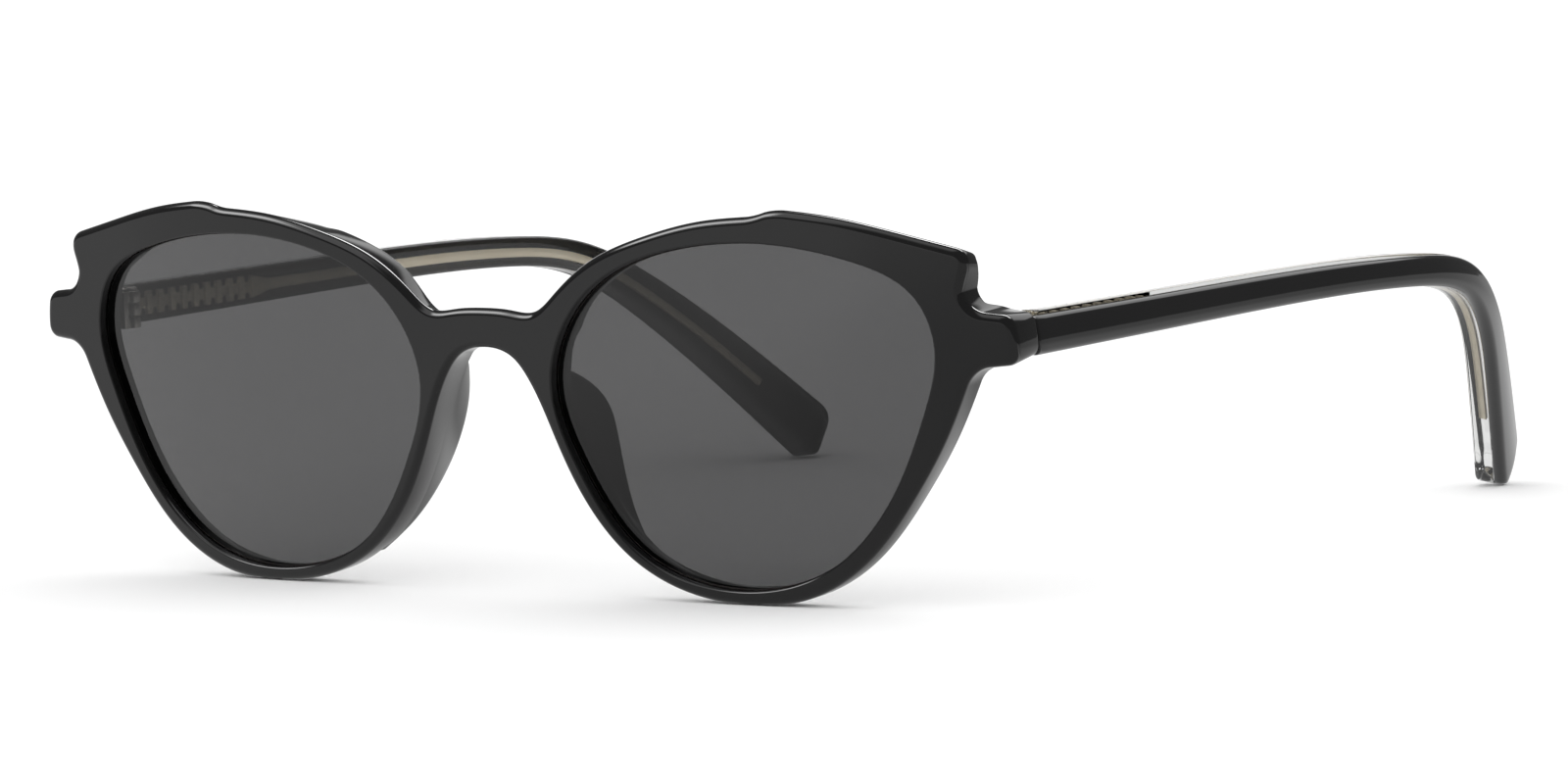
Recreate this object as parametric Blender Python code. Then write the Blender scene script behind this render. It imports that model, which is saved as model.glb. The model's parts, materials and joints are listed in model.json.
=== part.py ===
"""Cat eye sunglasses with laminated, wire-cored temples, built as separate pieces.

Lengths in this file are millimetres until mesh_object() turns them into metres.
The front is drawn in its own plane: u to the wearer's left (+X), v up the front,
w backwards from the front face. front_to_world() leans that plane forward and
stands it on the table (z = 0), with the temples open and level.
"""
import math

import bmesh
import bpy
import numpy as np
from mathutils import Vector
from mathutils.geometry import delaunay_2d_cdt

MM = 0.001

# ---------------------------------------------------------------- front
TILT = math.radians(4.2)          # pantoscopic lean of the front
FRONT_Y = -69.16                  # where the middle of the front face stands, so that Y is centred
RIM_DROP = 17.38                  # height of the front's zero line over the table
FRONT_THICKNESS = 3.9
FACE_FORM_SAG = 4.45              # how far the face has bent back at FACE_FORM_REACH
FACE_FORM_REACH = 65.0
FACE_FORM_END = 56.0              # outside this the face runs on straight
UPRIGHT_BEND = 0.00096            # the same from bottom to top, as a factor on height squared
EDGE_ROUND = 0.85                 # polished edge of the front
OPENING_ROUND = 0.3
JOINT_Y = 9.7                     # plane where endpiece and temple meet, behind the front's zero
ENDPIECE_TOP = 15.75
ENDPIECE_BOTTOM = 10.2
ENDPIECE_OUT = 71.9
ENDPIECE_INNER = 66.8             # the endpiece is thickened only outside this
ENDPIECE_FOOT = 0.9               # width of the slope up to the thickened part
ENDPIECE_FADE = 1.2               # and of its slopes above and below
CORNER_ROUND = 1.3
CORNER_ROUNDS = [1.2, 1.9, 2.2, 2.0, CORNER_ROUND, CORNER_ROUND, 2.0]
BRIDGE_DRAFT = 0.9                # the back edge is smaller than the front edge over the bridge
ENDPIECE_DRAFT = 0.4              # and round the endpieces
BROW_DRAFT = 0.9                  # and along the brow outside its step
BRIDGE_HALF = 14.0                # the bridge's draft is gone this far from the middle
BRIDGE_FOOT = 12.0                # and below this height
ENDPIECE_DRAFT_START = 66.3       # the endpiece's draft sets in here
DRAFT_FADE = 2.0                  # and grows or fades over this distance
BRIDGE_FADE = 6.0                 # the bridge's fades more slowly sideways
BROW_START = 16.0                 # the brow's draft sets in here, beside the bridge
BROW_FADE = 24.0                  # and is full this much further out
BROW_LINE = 24.2                  # it applies above this height over the openings
BROW_LINE_DROP = 5.7              # and above a line this much lower at the wing
BROW_LINE_FADE = 0.8              # height over which it sets in above the openings
BROW_LINE_FADE_WING = 2.7         # and how much more of it at the wing
WING_START = 50.0                 # where that line starts to drop
WING_FADE = 9.0
WING_TIP_START = 60.0             # outside and above these the back edge is less rounded
WING_TIP_LINE = 18.0
WING_TIP_FADE = 3.0
WING_TIP_SHARPER = 0.5            # share of the back edge's rounding taken away at the wing tip
PAD_REACH = 20.0                  # the pads' part of the rim: inside this, and between these heights
PAD_ZONE_TOP = 9.8
PAD_ZONE_BOTTOM = -13.0

# ---------------------------------------------------------------- lenses
GROOVE_FRONT = 1.2                # groove in the rim, measured from the front face
GROOVE_BACK = 2.9
GROOVE_DEPTH = 0.75
LENS_OVERLAP = 0.45               # how far the lens reaches into the groove
LENS_THICKNESS = 1.7
LENS_EDGE = 0.7                   # thickness of the bevelled edge
LENS_BEVEL = 0.3                  # width of the bevel that shows inside the rim
LENS_BULGE = 0.3                  # how far the middle stands forward of the edge

# ---------------------------------------------------------------- nose pads
PAD_THICKNESS = 2.0
PAD_SPLAY_TOP = 0.34              # the pad leans away from the nose at the top
PAD_SPLAY_BOTTOM = -0.06
PAD_GAP = 0.3                     # between the pad and the back of the rim
PAD_LEVELS = 13

# ---------------------------------------------------------------- temples
TEMPLE_THICKNESS = 4.2
BLACK_LAYER = 1.5
LAYER_GAP = 0.2
TEMPLE_ROUND = 0.9                # of the outer face
TEMPLE_INNER_ROUND = 0.5          # of the clear inner face
BONDED_ROUND = 0.05               # of the edges where the two layers meet
TEMPLE_START = JOINT_Y + 0.3
CLEAR_START = TEMPLE_START + 1.7  # the clear layer leaves room for the hinge leaf
END_ROUND = 2.0                   # rounded corners of the temple tip
END_SHEAR = 0.16                  # the tip is cut a little off square

# ---------------------------------------------------------------- core wire
WIRE_THICKNESS = 0.9
WIRE_HEIGHT = 1.35                # of the plain strip behind the ribbed head
WIRE_TAPER = 0.0035               # height that the strip loses along each millimetre
WIRE_HEAD_HEIGHT = 2.8
WIRE_CLEARANCE = 0.2
RIB_PITCH = 2.2
RIB_DEPTH = 0.35
RIB_COUNT = 12
WIRE_SET_BACK = 4.4               # the wire starts this far behind the start of the clear layer
WIRE_DROP = 0.15                  # and lies this much below the middle of the temple
WIRE_END_MARGIN = 12.0            # the wire stops this far before the tip

# ---------------------------------------------------------------- hinges
HINGE_X = 63.2
HINGE_Y = JOINT_Y + 0.2
HINGE_Z = 31.0                    # middle of the barrels over the table
BARREL_RADIUS = 1.3
BARREL_HEIGHT = 1.4
BARREL_GAP = 0.15
BARREL_SIDES = 20
BORE_RADIUS = 0.7
SCREW_RADIUS = 0.5
SCREW_HEAD_RADIUS = 1.0
SCREW_HEAD_HEIGHT = 0.45
SCREW_HEAD_LIFT = 0.12            # gap between head and barrel
SCREW_END_RECESS = 0.1            # the shank ends inside the lowest barrel
SLOT_HALF_WIDTH = 0.13
LEAF_INNER = 62.2                 # leaf on the endpiece's back
LEAF_OUTER = 65.1
LEAF_FRONT = 7.8
LEAF_BACK = 8.6
ARM_HALF_WIDTH = 0.9              # of the arms that carry the outer barrels
MIDDLE_ARM_HALF_WIDTH = 0.55      # and of the middle barrel's
TONGUE_THICKNESS = 0.8            # tongue of the temple leaf, in the temple's head
TONGUE_HEIGHT = 2.6
TONGUE_END = CLEAR_START + 3.9
PAST_END = 1.0                    # cutters run past the solid by this

# How finely curves are cut into straight pieces.
DENSE_STEP = 0.25
OUTLINE_TOLERANCE = 0.04
GRID = 6.5


# ================================================================ materials
def material(name, colour, roughness, metallic=0.0, alpha=1.0):
    made = bpy.data.materials.new(name)
    made.use_nodes = True
    shader = made.node_tree.nodes["Principled BSDF"]
    shader.inputs["Base Color"].default_value = (*colour, 1.0)
    shader.inputs["Roughness"].default_value = roughness
    shader.inputs["Metallic"].default_value = metallic
    shader.inputs["Alpha"].default_value = alpha
    made.diffuse_color = (*colour, alpha)
    return made


# ================================================================ curves
def cubic_spline(points, step=DENSE_STEP):
    """A smooth curve through the points, its bending continuous, free at both ends."""
    points = np.asarray(points, float)
    count = len(points)
    knots = np.concatenate([[0], np.cumsum(np.linalg.norm(np.diff(points, axis=0), axis=1))])
    gap = np.diff(knots)
    system = np.eye(count)
    right = np.zeros_like(points)
    for i in range(1, count - 1):
        system[i, i - 1] = gap[i - 1]
        system[i, i] = 2 * (gap[i - 1] + gap[i])
        system[i, i + 1] = gap[i]
        rise_after = (points[i + 1] - points[i]) / gap[i]
        rise_before = (points[i] - points[i - 1]) / gap[i - 1]
        right[i] = 6 * (rise_after - rise_before)
    bend = np.linalg.solve(system, right)
    samples = np.linspace(0, knots[-1], max(2, int(round(knots[-1] / step)) + 1))
    place = np.clip(np.searchsorted(knots, samples, side="right") - 1, 0, count - 2)
    before = (samples - knots[place])[:, None]
    after = (knots[place + 1] - samples)[:, None]
    width = gap[place][:, None]
    cubic = (bend[place] * after**3 + bend[place + 1] * before**3) / (6 * width)
    start = (points[place] / width - bend[place] * width / 6) * after
    end = (points[place + 1] / width - bend[place + 1] * width / 6) * before
    return cubic + start + end


def closed_spline(points, step=DENSE_STEP):
    """The same through a ring of points, by running over its seam on both sides."""
    count = len(points)
    lap = 4
    ring = [points[i % count] for i in range(-lap, count + lap + 1)]
    curve = cubic_spline(ring, step)
    half = len(curve) // 2
    away = np.linalg.norm(curve - points[0], axis=1)
    return curve[np.argmin(away[:half]):half + np.argmin(away[half:])]


def mirrored(points):
    """Points of the +X half, continued as their mirror image on the -X half, left to right."""
    left = [(-u, v) for u, v in reversed(points) if u > 0]
    return left + list(points)


def round_corner(before, after, reach):
    """Ends of two curves that meet in a corner, joined by a smooth bend of the given reach."""
    def cut_back(curve):
        length = np.concatenate([[0], np.cumsum(np.linalg.norm(np.diff(curve, axis=0), axis=1))])
        keep = length <= max(length[-1] - reach, 0)
        return curve[keep]

    head = cut_back(before)
    tail = cut_back(after[::-1])[::-1]
    corner = before[-1]
    start = head[-1]
    end = tail[0]
    t = np.linspace(0, 1, 9)[1:-1, None]
    handle_a = start + 0.6 * (corner - start)
    handle_b = end + 0.6 * (corner - end)
    bend = ((1 - t)**3 * start + 3 * (1 - t)**2 * t * handle_a
            + 3 * (1 - t) * t**2 * handle_b + t**3 * end)
    return head, bend, tail


def chain(runs, reaches):
    """A closed loop from curves that meet end to end, every meeting point rounded."""
    count = len(runs)
    runs = list(runs)
    bends = []
    for i in range(count):
        following = (i + 1) % count
        head, bend, tail = round_corner(runs[i], runs[following], reaches[i])
        runs[i] = head
        runs[following] = tail
        bends.append(bend)
    pieces = []
    for run, bend in zip(runs, bends):
        pieces += [run, bend]
    loop = np.concatenate(pieces)
    apart = np.linalg.norm(loop - np.roll(loop, 1, axis=0), axis=1) > 0.02
    return loop[apart]


def line(start, end):
    return cubic_spline([start, end])


def counter_clockwise(loop):
    area = np.sum(loop[:, 0] * np.roll(loop[:, 1], -1) - np.roll(loop[:, 0], -1) * loop[:, 1])
    return loop if area > 0 else loop[::-1]


def outward_normals(loop):
    along = np.roll(loop, -1, axis=0) - np.roll(loop, 1, axis=0)
    normal = np.stack([along[:, 1], -along[:, 0]], axis=1)
    return normal / np.linalg.norm(normal, axis=1)[:, None]


def corners_to_keep(loop, tolerance=OUTLINE_TOLERANCE):
    """Indices of a dense closed loop that follow it within the tolerance."""
    def split(first, last):
        if last - first < 2:
            return []
        start = loop[first]
        chord = loop[last % len(loop)] - start
        length = np.linalg.norm(chord)
        offset = loop[first + 1:last] - start
        away = np.abs(chord[0] * offset[:, 1] - chord[1] * offset[:, 0]) / max(length, 1e-9)
        worst = int(np.argmax(away))
        if away[worst] < tolerance and length < 2 * GRID:
            return []
        middle = first + 1 + worst
        if away[worst] < tolerance:
            middle = (first + last) // 2
        return split(first, middle) + [middle] + split(middle, last)

    third = len(loop) // 3
    marks = [0, third, 2 * third]
    kept = []
    for first, last in zip(marks, marks[1:] + [len(loop)]):
        kept += [first] + split(first, last)
    return kept


def inside(points, loop):
    """Which points lie inside a closed loop."""
    result = np.zeros(len(points), bool)
    following = np.roll(loop, -1, axis=0)
    for (x0, y0), (x1, y1) in zip(loop, following):
        if y0 == y1:
            continue
        spans = (y0 > points[:, 1]) != (y1 > points[:, 1])
        crossing = x0 + (points[:, 1] - y0) * (x1 - x0) / (y1 - y0)
        result ^= spans & (points[:, 0] < crossing)
    return result


# ================================================================ meshes
def mesh_object(name, vertices, faces, paint, flat_base=False):
    """A closed mesh in metres, facing outwards, smooth where it is round."""
    vertices = np.array(vertices, float)
    if flat_base:
        vertices[:, 2] = np.maximum(vertices[:, 2], 0.0)
    mesh = bpy.data.meshes.new(name)
    made = bmesh.new()
    corners = [made.verts.new(Vector(v) * MM) for v in vertices]
    for face in faces:
        made.faces.new([corners[i] for i in face])
    bmesh.ops.recalc_face_normals(made, faces=made.faces)
    made.to_mesh(mesh)
    made.free()
    mesh.shade_smooth()
    mesh.set_sharp_from_angle(angle=math.radians(35))
    thing = bpy.data.objects.new(name, mesh)
    thing.data.materials.append(paint)
    bpy.context.scene.collection.objects.link(thing)
    return thing


def join_rings(rings, close_start=True, close_end=True):
    """Side faces between rings of equal length, with the end rings filled if asked."""
    size = len(rings[0])
    vertices = [tuple(p) for ring in rings for p in ring]
    faces = []
    for r in range(len(rings) - 1):
        for i in range(size):
            j = (i + 1) % size
            a, b = r * size + i, r * size + j
            faces.append((a, b, b + size, a + size))
    if close_start:
        faces.append(tuple(range(size)))
    if close_end:
        last = (len(rings) - 1) * size
        faces.append(tuple(range(last, last + size)))
    return vertices, faces


def fill_between(outer, holes, guides):
    """Triangles over a flat region with holes; returns the inner points used and the triangles.

    Guide points are used wherever they fall inside, ahead of the even grid.
    """
    rings = [outer] + holes
    points = np.concatenate(rings)
    edges = []
    start = 0
    for ring in rings:
        edges += [(start + i, start + (i + 1) % len(ring)) for i in range(len(ring))]
        start += len(ring)
    low, high = outer.min(axis=0), outer.max(axis=0)
    grid = np.array([(u, v) for u in np.arange(low[0] + GRID / 3, high[0], GRID)
                     for v in np.arange(low[1] + GRID / 3, high[1], GRID)])
    everything = points
    for candidates, clearance in ((guides, 0.25), (grid, 0.35 * GRID)):
        keep = inside(candidates, outer)
        for hole in holes:
            keep &= ~inside(candidates, hole)
        for i in np.flatnonzero(keep):
            keep[i] = np.linalg.norm(everything - candidates[i], axis=1).min() > clearance
        everything = np.concatenate([everything, candidates[keep]])
    inner = everything[len(points):]
    result = delaunay_2d_cdt([Vector(p) for p in everything], edges, [], 0, 1e-7)
    origin = [source[0] for source in result[3]]
    triangles = []
    for face in result[2]:
        corners = [origin[i] for i in face]
        centre = everything[corners].mean(axis=0)[None]
        if inside(centre, outer)[0] and not any(inside(centre, hole)[0] for hole in holes):
            triangles.append(corners)
    return inner, triangles


# ================================================================ front plane
def face_depth(u, v):
    """How far the front face has bent back at a place."""
    inner = np.minimum(np.abs(u), FACE_FORM_END)
    sag = FACE_FORM_SAG * (inner / FACE_FORM_REACH) ** 4
    slope = 4 * FACE_FORM_SAG * FACE_FORM_END**3 / FACE_FORM_REACH**4
    return sag + slope * (np.abs(u) - inner) + UPRIGHT_BEND * v**2


def front_to_world(u, v, w):
    y = FRONT_Y + w * math.cos(TILT) - v * math.sin(TILT)
    z = RIM_DROP + w * math.sin(TILT) + v * math.cos(TILT)
    return np.stack([np.broadcast_to(u, np.shape(y)), y, z], axis=-1)


def smooth_step(x):
    x = np.clip(x, 0, 1)
    return x * x * (3 - 2 * x)


def back_depth(u, v):
    """Depth of the back face: the sheet's thickness, and the endpiece standing up to the joint."""
    sheet = face_depth(u, v) + FRONT_THICKNESS
    joint = (JOINT_Y + v * math.sin(TILT)) / math.cos(TILT)
    inner = smooth_step((np.abs(u) - ENDPIECE_INNER + ENDPIECE_FOOT) / ENDPIECE_FOOT)
    below_top = smooth_step((ENDPIECE_TOP + ENDPIECE_FADE - v) / ENDPIECE_FADE)
    above_bottom = smooth_step((v - ENDPIECE_BOTTOM + ENDPIECE_FADE) / ENDPIECE_FADE)
    return sheet + inner * below_top * above_bottom * np.maximum(joint - sheet, 0)


def endpiece_foot_points():
    """Points along the slopes round the thickened part, so that the back face follows them."""
    shares = (1.0, 0.5, 0.0)
    across = [ENDPIECE_INNER - ENDPIECE_FOOT * f for f in shares] + [68.4, 70.0]
    rows = [ENDPIECE_BOTTOM - ENDPIECE_FADE * f for f in shares] + [11.5, 13.1, 14.7]
    rows += [ENDPIECE_TOP + ENDPIECE_FADE * f for f in shares]
    return np.array([(side * u, v) for side in (1, -1) for u in across for v in rows])


def front_outline():
    """The outer edge of the front: bridge, stepped brow, wing, notch, endpiece and rim."""
    step_foot = (39.4, 27.1)
    step_top = (42.0, 27.95)
    wing_tip = (66.9, 22.9)
    notch = (65.8, 16.4)
    bridge_and_brow = mirrored([(0.0, 16.0), (4.0, 15.8), (7.4, 15.65), (10.6, 17.8), (16.4, 21.9),
                                (24.0, 24.7), (32.0, 26.5), step_foot])
    wing = [step_top, (50.0, 27.0), (58.5, 25.05), wing_tip]
    wing_side = [wing_tip, (66.0, 20.2), (65.5, 18.2), notch]
    endpiece_side = [(ENDPIECE_OUT - 0.55, ENDPIECE_TOP), (ENDPIECE_OUT - 0.12, 13.4),
                     (ENDPIECE_OUT, 11.8), (ENDPIECE_OUT - 0.1, ENDPIECE_BOTTOM)]
    rim_top = (66.2, ENDPIECE_BOTTOM - 0.5)
    rim = mirrored([(0.0, 11.35), (4.0, 10.25), (6.0, 8.0), (9.4, 0.9), (13.3, -6.7), (19.0, -12.9),
                    (26.6, -16.6), (34.5, -17.8), (43.0, -16.9), (51.5, -12.2), (57.8, -5.0),
                    (62.2, 1.6), rim_top])
    right = [cubic_spline([step_foot, step_top]), cubic_spline(wing), cubic_spline(wing_side),
             line(notch, endpiece_side[0]), cubic_spline(endpiece_side),
             line(endpiece_side[-1], rim_top)]
    flip = np.array([-1.0, 1.0])
    left = [(run * flip)[::-1] for run in reversed(right)]
    runs = [cubic_spline(bridge_and_brow)] + right + [cubic_spline(rim)[::-1]] + left
    return counter_clockwise(chain(runs, CORNER_ROUNDS + CORNER_ROUNDS[::-1]))


def opening_outline(side):
    """The lens opening at the front face."""
    points = np.array([(61.8, 12.0), (59.7, 17.9), (52.0, 22.05), (38.6, 24.1), (25.5, 22.65),
                       (14.5, 17.0), (9.8, 7.4), (12.6, -2.0), (19.8, -11.7), (33.5, -16.1),
                       (46.5, -13.3), (55.3, -4.8), (60.0, 4.7)])
    points = points * np.array([side, 1.0])
    return counter_clockwise(closed_spline(points))


def pad_zone(u, v):
    """1 where a nose pad is cemented on and the rim's back edge is left square, else 0."""
    nasal = (np.abs(u) < PAD_REACH) & (v < PAD_ZONE_TOP) & (v > PAD_ZONE_BOTTOM)
    return nasal.astype(float)


def brow_zone(u, v):
    """1 along the outer edge from the brow's step to the wing tip, fading towards the bridge, else 0."""
    wing = smooth_step((np.abs(u) - WING_START) / WING_FADE)
    height = v - BROW_LINE + BROW_LINE_DROP * wing
    above_opening = smooth_step(height / (BROW_LINE_FADE + BROW_LINE_FADE_WING * wing))
    return smooth_step((np.abs(u) - BROW_START) / BROW_FADE) * above_opening


def wing_tip_zone(u, v):
    """1 round the wing tip, where the back edge is less rounded, else 0."""
    outer = smooth_step((np.abs(u) - WING_TIP_START) / WING_TIP_FADE)
    return outer * smooth_step((v - WING_TIP_LINE) / DRAFT_FADE)


def draft(u, v):
    """How much further in the back edge lies than the front edge."""
    bridge = smooth_step((BRIDGE_HALF - np.abs(u)) / BRIDGE_FADE)
    bridge *= smooth_step((v - BRIDGE_FOOT) / DRAFT_FADE)
    endpiece = smooth_step((np.abs(u) - ENDPIECE_DRAFT_START) / DRAFT_FADE)
    endpiece *= smooth_step((ENDPIECE_TOP + DRAFT_FADE - v) / DRAFT_FADE)
    return BRIDGE_DRAFT * bridge + ENDPIECE_DRAFT * endpiece + BROW_DRAFT * brow_zone(u, v)


def edge_rings(loop, kept, profile):
    """Rings of (u, v, w) down one edge of the front; profile gives inset, depth and its side."""
    normal = outward_normals(loop)[kept]
    base = loop[kept]
    rings = []
    for inset, depth, from_back in profile:
        if from_back:
            scale = 1 - 0.8 * pad_zone(base[:, 0], base[:, 1])
            scale -= WING_TIP_SHARPER * wing_tip_zone(base[:, 0], base[:, 1])
            drafted = inset * scale + draft(base[:, 0], base[:, 1])
            flat = base - normal * drafted[:, None]
            w = back_depth(flat[:, 0], flat[:, 1]) - depth * scale
        else:
            flat = base - normal * inset
            w = face_depth(flat[:, 0], flat[:, 1]) + depth
        rings.append(np.column_stack([flat, w]))
    return rings


def rounded_profile(radius, steps):
    """Inset and depth down a quarter round, from the face to the wall."""
    angles = [math.pi / 2 * k / steps for k in range(steps + 1)]
    return [(radius * (1 - math.sin(a)), radius * (1 - math.cos(a))) for a in angles]


def outer_edge_profile():
    front = [(inset, depth, False) for inset, depth in rounded_profile(EDGE_ROUND, 2)]
    back = [(inset, depth, True) for inset, depth in reversed(rounded_profile(EDGE_ROUND, 2))]
    return front + back


def opening_profile():
    """Down the wall of a lens opening, with the groove that holds the lens."""
    front = [(-OPENING_ROUND, 0.0, False), (0.0, OPENING_ROUND, False)]
    groove = [(0.0, GROOVE_FRONT, False), (-GROOVE_DEPTH, GROOVE_FRONT + 0.3, False),
              (-GROOVE_DEPTH, GROOVE_BACK - 0.3, False), (0.0, GROOVE_BACK, False)]
    back = [(0.0, OPENING_ROUND, True), (-OPENING_ROUND, 0.0, True)]
    return front + groove + back


def build_front(paint):
    outline = front_outline()
    edges = [edge_rings(outline, corners_to_keep(outline), outer_edge_profile())]
    for side in (1, -1):
        opening = opening_outline(side)
        edges.append(edge_rings(opening, corners_to_keep(opening), opening_profile()))
    vertices = []
    faces = []
    first_rings = []
    last_rings = []
    for rings in edges:
        size = len(rings[0])
        start = len(vertices)
        found, walls = join_rings(rings, False, False)
        vertices += found
        faces += [tuple(start + i for i in wall) for wall in walls]
        first_rings.append((start, rings[0]))
        last_rings.append((start + (len(rings) - 1) * size, rings[-1]))
    for rings, depth_at in ((first_rings, face_depth), (last_rings, back_depth)):
        flat = [ring[:, :2] for _, ring in rings]
        inner, triangles = fill_between(flat[0], flat[1:], endpiece_foot_points())
        lookup = []
        for start, ring in rings:
            lookup += list(range(start, start + len(ring)))
        lookup += list(range(len(vertices), len(vertices) + len(inner)))
        vertices += [tuple(p) for p in np.column_stack([inner, depth_at(inner[:, 0], inner[:, 1])])]
        faces += [tuple(lookup[i] for i in triangle) for triangle in triangles]
    local = np.array(vertices)
    placed = front_to_world(local[:, 0], local[:, 1], local[:, 2])
    return mesh_object("front_frame", placed, faces, paint, flat_base=True)


# ================================================================ lenses
def build_lens(name, side, paint):
    opening = opening_outline(side)
    kept = corners_to_keep(opening, 2 * OUTLINE_TOLERANCE)
    rim = opening[kept] + outward_normals(opening)[kept] * LENS_OVERLAP
    centre = opening.mean(axis=0)
    middle = (GROOVE_FRONT + GROOVE_BACK) / 2
    bevel = LENS_OVERLAP + LENS_BEVEL

    def ring(scale, inset, offset):
        direction = rim - centre
        reach = np.linalg.norm(direction, axis=1)[:, None]
        flat = centre + direction * scale - direction / reach * inset
        bulge = LENS_BULGE * (1 - scale * scale)
        w = face_depth(flat[:, 0], flat[:, 1]) + middle + offset - bulge
        return np.column_stack([flat, w])

    half = LENS_THICKNESS / 2
    scales = (0.35, 0.7, 0.9)
    rings = [ring(s, 0, -half) for s in scales] + [ring(1, bevel, -half), ring(1, 0, -LENS_EDGE / 2)]
    rings += [ring(1, 0, LENS_EDGE / 2), ring(1, bevel, half)] + [ring(s, 0, half) for s in reversed(scales)]
    rings = [front_to_world(r[:, 0], r[:, 1], r[:, 2]) for r in rings]
    vertices, faces = join_rings(rings, False, False)
    size = len(kept)
    for start, offset in ((0, -half), (len(vertices) - size, half)):
        w = face_depth(centre[0], centre[1]) + middle + offset - LENS_BULGE
        vertices.append(tuple(front_to_world(centre[0], centre[1], w)))
        faces += [(start + i, start + (i + 1) % size, len(vertices) - 1) for i in range(size)]
    return mesh_object(name, vertices, faces, paint)


# ================================================================ nose pads
def nasal_edge(v):
    """u of the front's nasal edge at height v."""
    outline = front_outline()
    side = outline[(outline[:, 0] > 4) & (outline[:, 0] < 30) & (outline[:, 1] < 10.3)]
    order = np.argsort(side[:, 1])
    return np.interp(v, side[order, 1], side[order, 0])


def build_pad(name, side, paint):
    """A saddle pad on the back of the nasal rim, its depth swelling and fading along the rim."""
    crest = cubic_spline([(9.0, 0.4), (7.0, 3.4), (4.0, 5.2), (0.0, 5.1), (-5.0, 3.6),
                          (-9.5, 1.9), (-12.5, 0.5)])
    rings = []
    for share in np.linspace(0, 1, PAD_LEVELS):
        v, depth = crest[round(share * (len(crest) - 1))]
        splay = PAD_SPLAY_TOP + (PAD_SPLAY_BOTTOM - PAD_SPLAY_TOP) * share
        thickness = PAD_THICKNESS * (0.55 + 0.45 * min(depth / 4, 1))
        edge = nasal_edge(v)
        base = face_depth(edge, v) + FRONT_THICKNESS + PAD_GAP
        tip = min(thickness / 2, 0.8 * depth)
        section = [(0.0, 0.0), (thickness, 0.0), (thickness, 0.6 * (depth - tip))]
        section += [(thickness / 2 * (1 + math.cos(a)), depth - tip + tip * math.sin(a))
                    for a in np.linspace(0, math.pi, 7)]
        section.append((0.0, 0.6 * (depth - tip)))
        rings.append([front_to_world(side * (edge + across + splay * back), v, base + back)
                      for across, back in section])
    vertices, faces = join_rings(rings)
    return mesh_object(name, vertices, faces, paint)


# ================================================================ temples
def temple_path():
    """Middle line of the +X temple: level, slightly bowed, then bent down and in to the tip."""
    points = [(69.3, TEMPLE_START, 31.0), (69.3, 40.0, 31.4), (69.4, 68.0, 31.7), (69.3, 92.0, 31.1),
              (67.9, 106.0, 28.7), (65.0, 115.1, 23.4), (61.3, 122.9, 16.8), (57.3, 130.6, 9.3),
              (53.6, 137.6, 2.1)]
    curve = cubic_spline(points, 0.5)
    return curve + np.array([0.0, FRONT_Y, 0.0])


def temple_height(share):
    """Height of the temple along its length, 0 at the hinge and 1 at the tip."""
    return np.interp(share, [0.0, 0.3, 0.6, 0.72, 0.85, 1.0], [4.9, 4.4, 3.9, 4.3, 5.8, 7.4])


class TemplePath:
    """The middle line with its directions: along, up the temple's height, and across outwards."""

    def __init__(self, side):
        self.points = temple_path()
        self.reach = np.concatenate([[0], np.cumsum(np.linalg.norm(np.diff(self.points, axis=0), axis=1))])
        self.length = self.reach[-1]
        self.side = side

    def at(self, s):
        s = min(max(s, 0), self.length)
        return np.array([np.interp(s, self.reach, self.points[:, k]) for k in range(3)])

    def directions(self, s):
        """Square to the joint over the first few millimetres, then as the path runs."""
        along = self.at(s + 0.6) - self.at(s - 0.6)
        if s < 3:
            along = np.array([0.0, 1.0, 0.0])
        along /= np.linalg.norm(along)
        up = np.cross([1.0, 0.0, 0.0], along)
        up /= np.linalg.norm(up)
        return along, up, np.cross(along, up)

    def ring(self, s, section, shear=0.0):
        """A closed ring of points round the path at s; section lists (across, up) offsets."""
        here = self.at(s)
        along, up, across = self.directions(s)
        points = [here + across * a + up * b - along * shear * b for a, b in section]
        return [(self.side * p[0], p[1], p[2]) for p in points]


def rounded_section(inner, outer, half_height, inner_round, outer_round, steps=2):
    """A rectangle from inner to outer, its corners rounded, as (across, up) points."""
    section = []
    for across, up, turn, radius in ((outer, 1, 0, outer_round), (inner, 1, 1, inner_round),
                                     (inner, -1, 2, inner_round), (outer, -1, 3, outer_round)):
        sign = 1 if across == outer else -1
        centre = (across - sign * radius, up * (half_height - radius))
        for k in range(steps + 1):
            angle = math.pi / 2 * (turn + k / steps)
            section.append((centre[0] + radius * math.cos(angle), centre[1] + radius * math.sin(angle)))
    return section


def stations(path, start, end):
    """Places along a temple, closer together in the bend and round the tip."""
    places = [start]
    while places[-1] < end - 0.5:
        share = places[-1] / path.length
        stride = 9.0 if share < 0.55 else 3.2
        places.append(min(places[-1] + stride, end))
    return places


def tip_shrink(path, s):
    """How much the half height and the thickness have rounded off near the tip."""
    into = s - (path.length - END_ROUND)
    if into <= 0:
        return 0.0
    return END_ROUND - math.sqrt(max(END_ROUND**2 - into**2, 0))


def tip_stations(path, start):
    places = stations(path, start, path.length - END_ROUND)
    return places + [path.length - END_ROUND * (1 - f) for f in (0.45, 0.8, 1.0)]


def layer_ring(path, s, inner, outer, inner_round, outer_round):
    shrink = tip_shrink(path, s)
    half = temple_height(s / path.length) / 2 - 0.8 * shrink
    shear = END_SHEAR * smooth_step((s / path.length - 0.85) / 0.15)
    squeeze = 0.25 * shrink
    low = inner + (squeeze if inner_round > BONDED_ROUND else 0)
    high = outer - (squeeze if outer_round > BONDED_ROUND else 0)
    return path.ring(s, rounded_section(low, high, half, inner_round, outer_round), shear)


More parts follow.
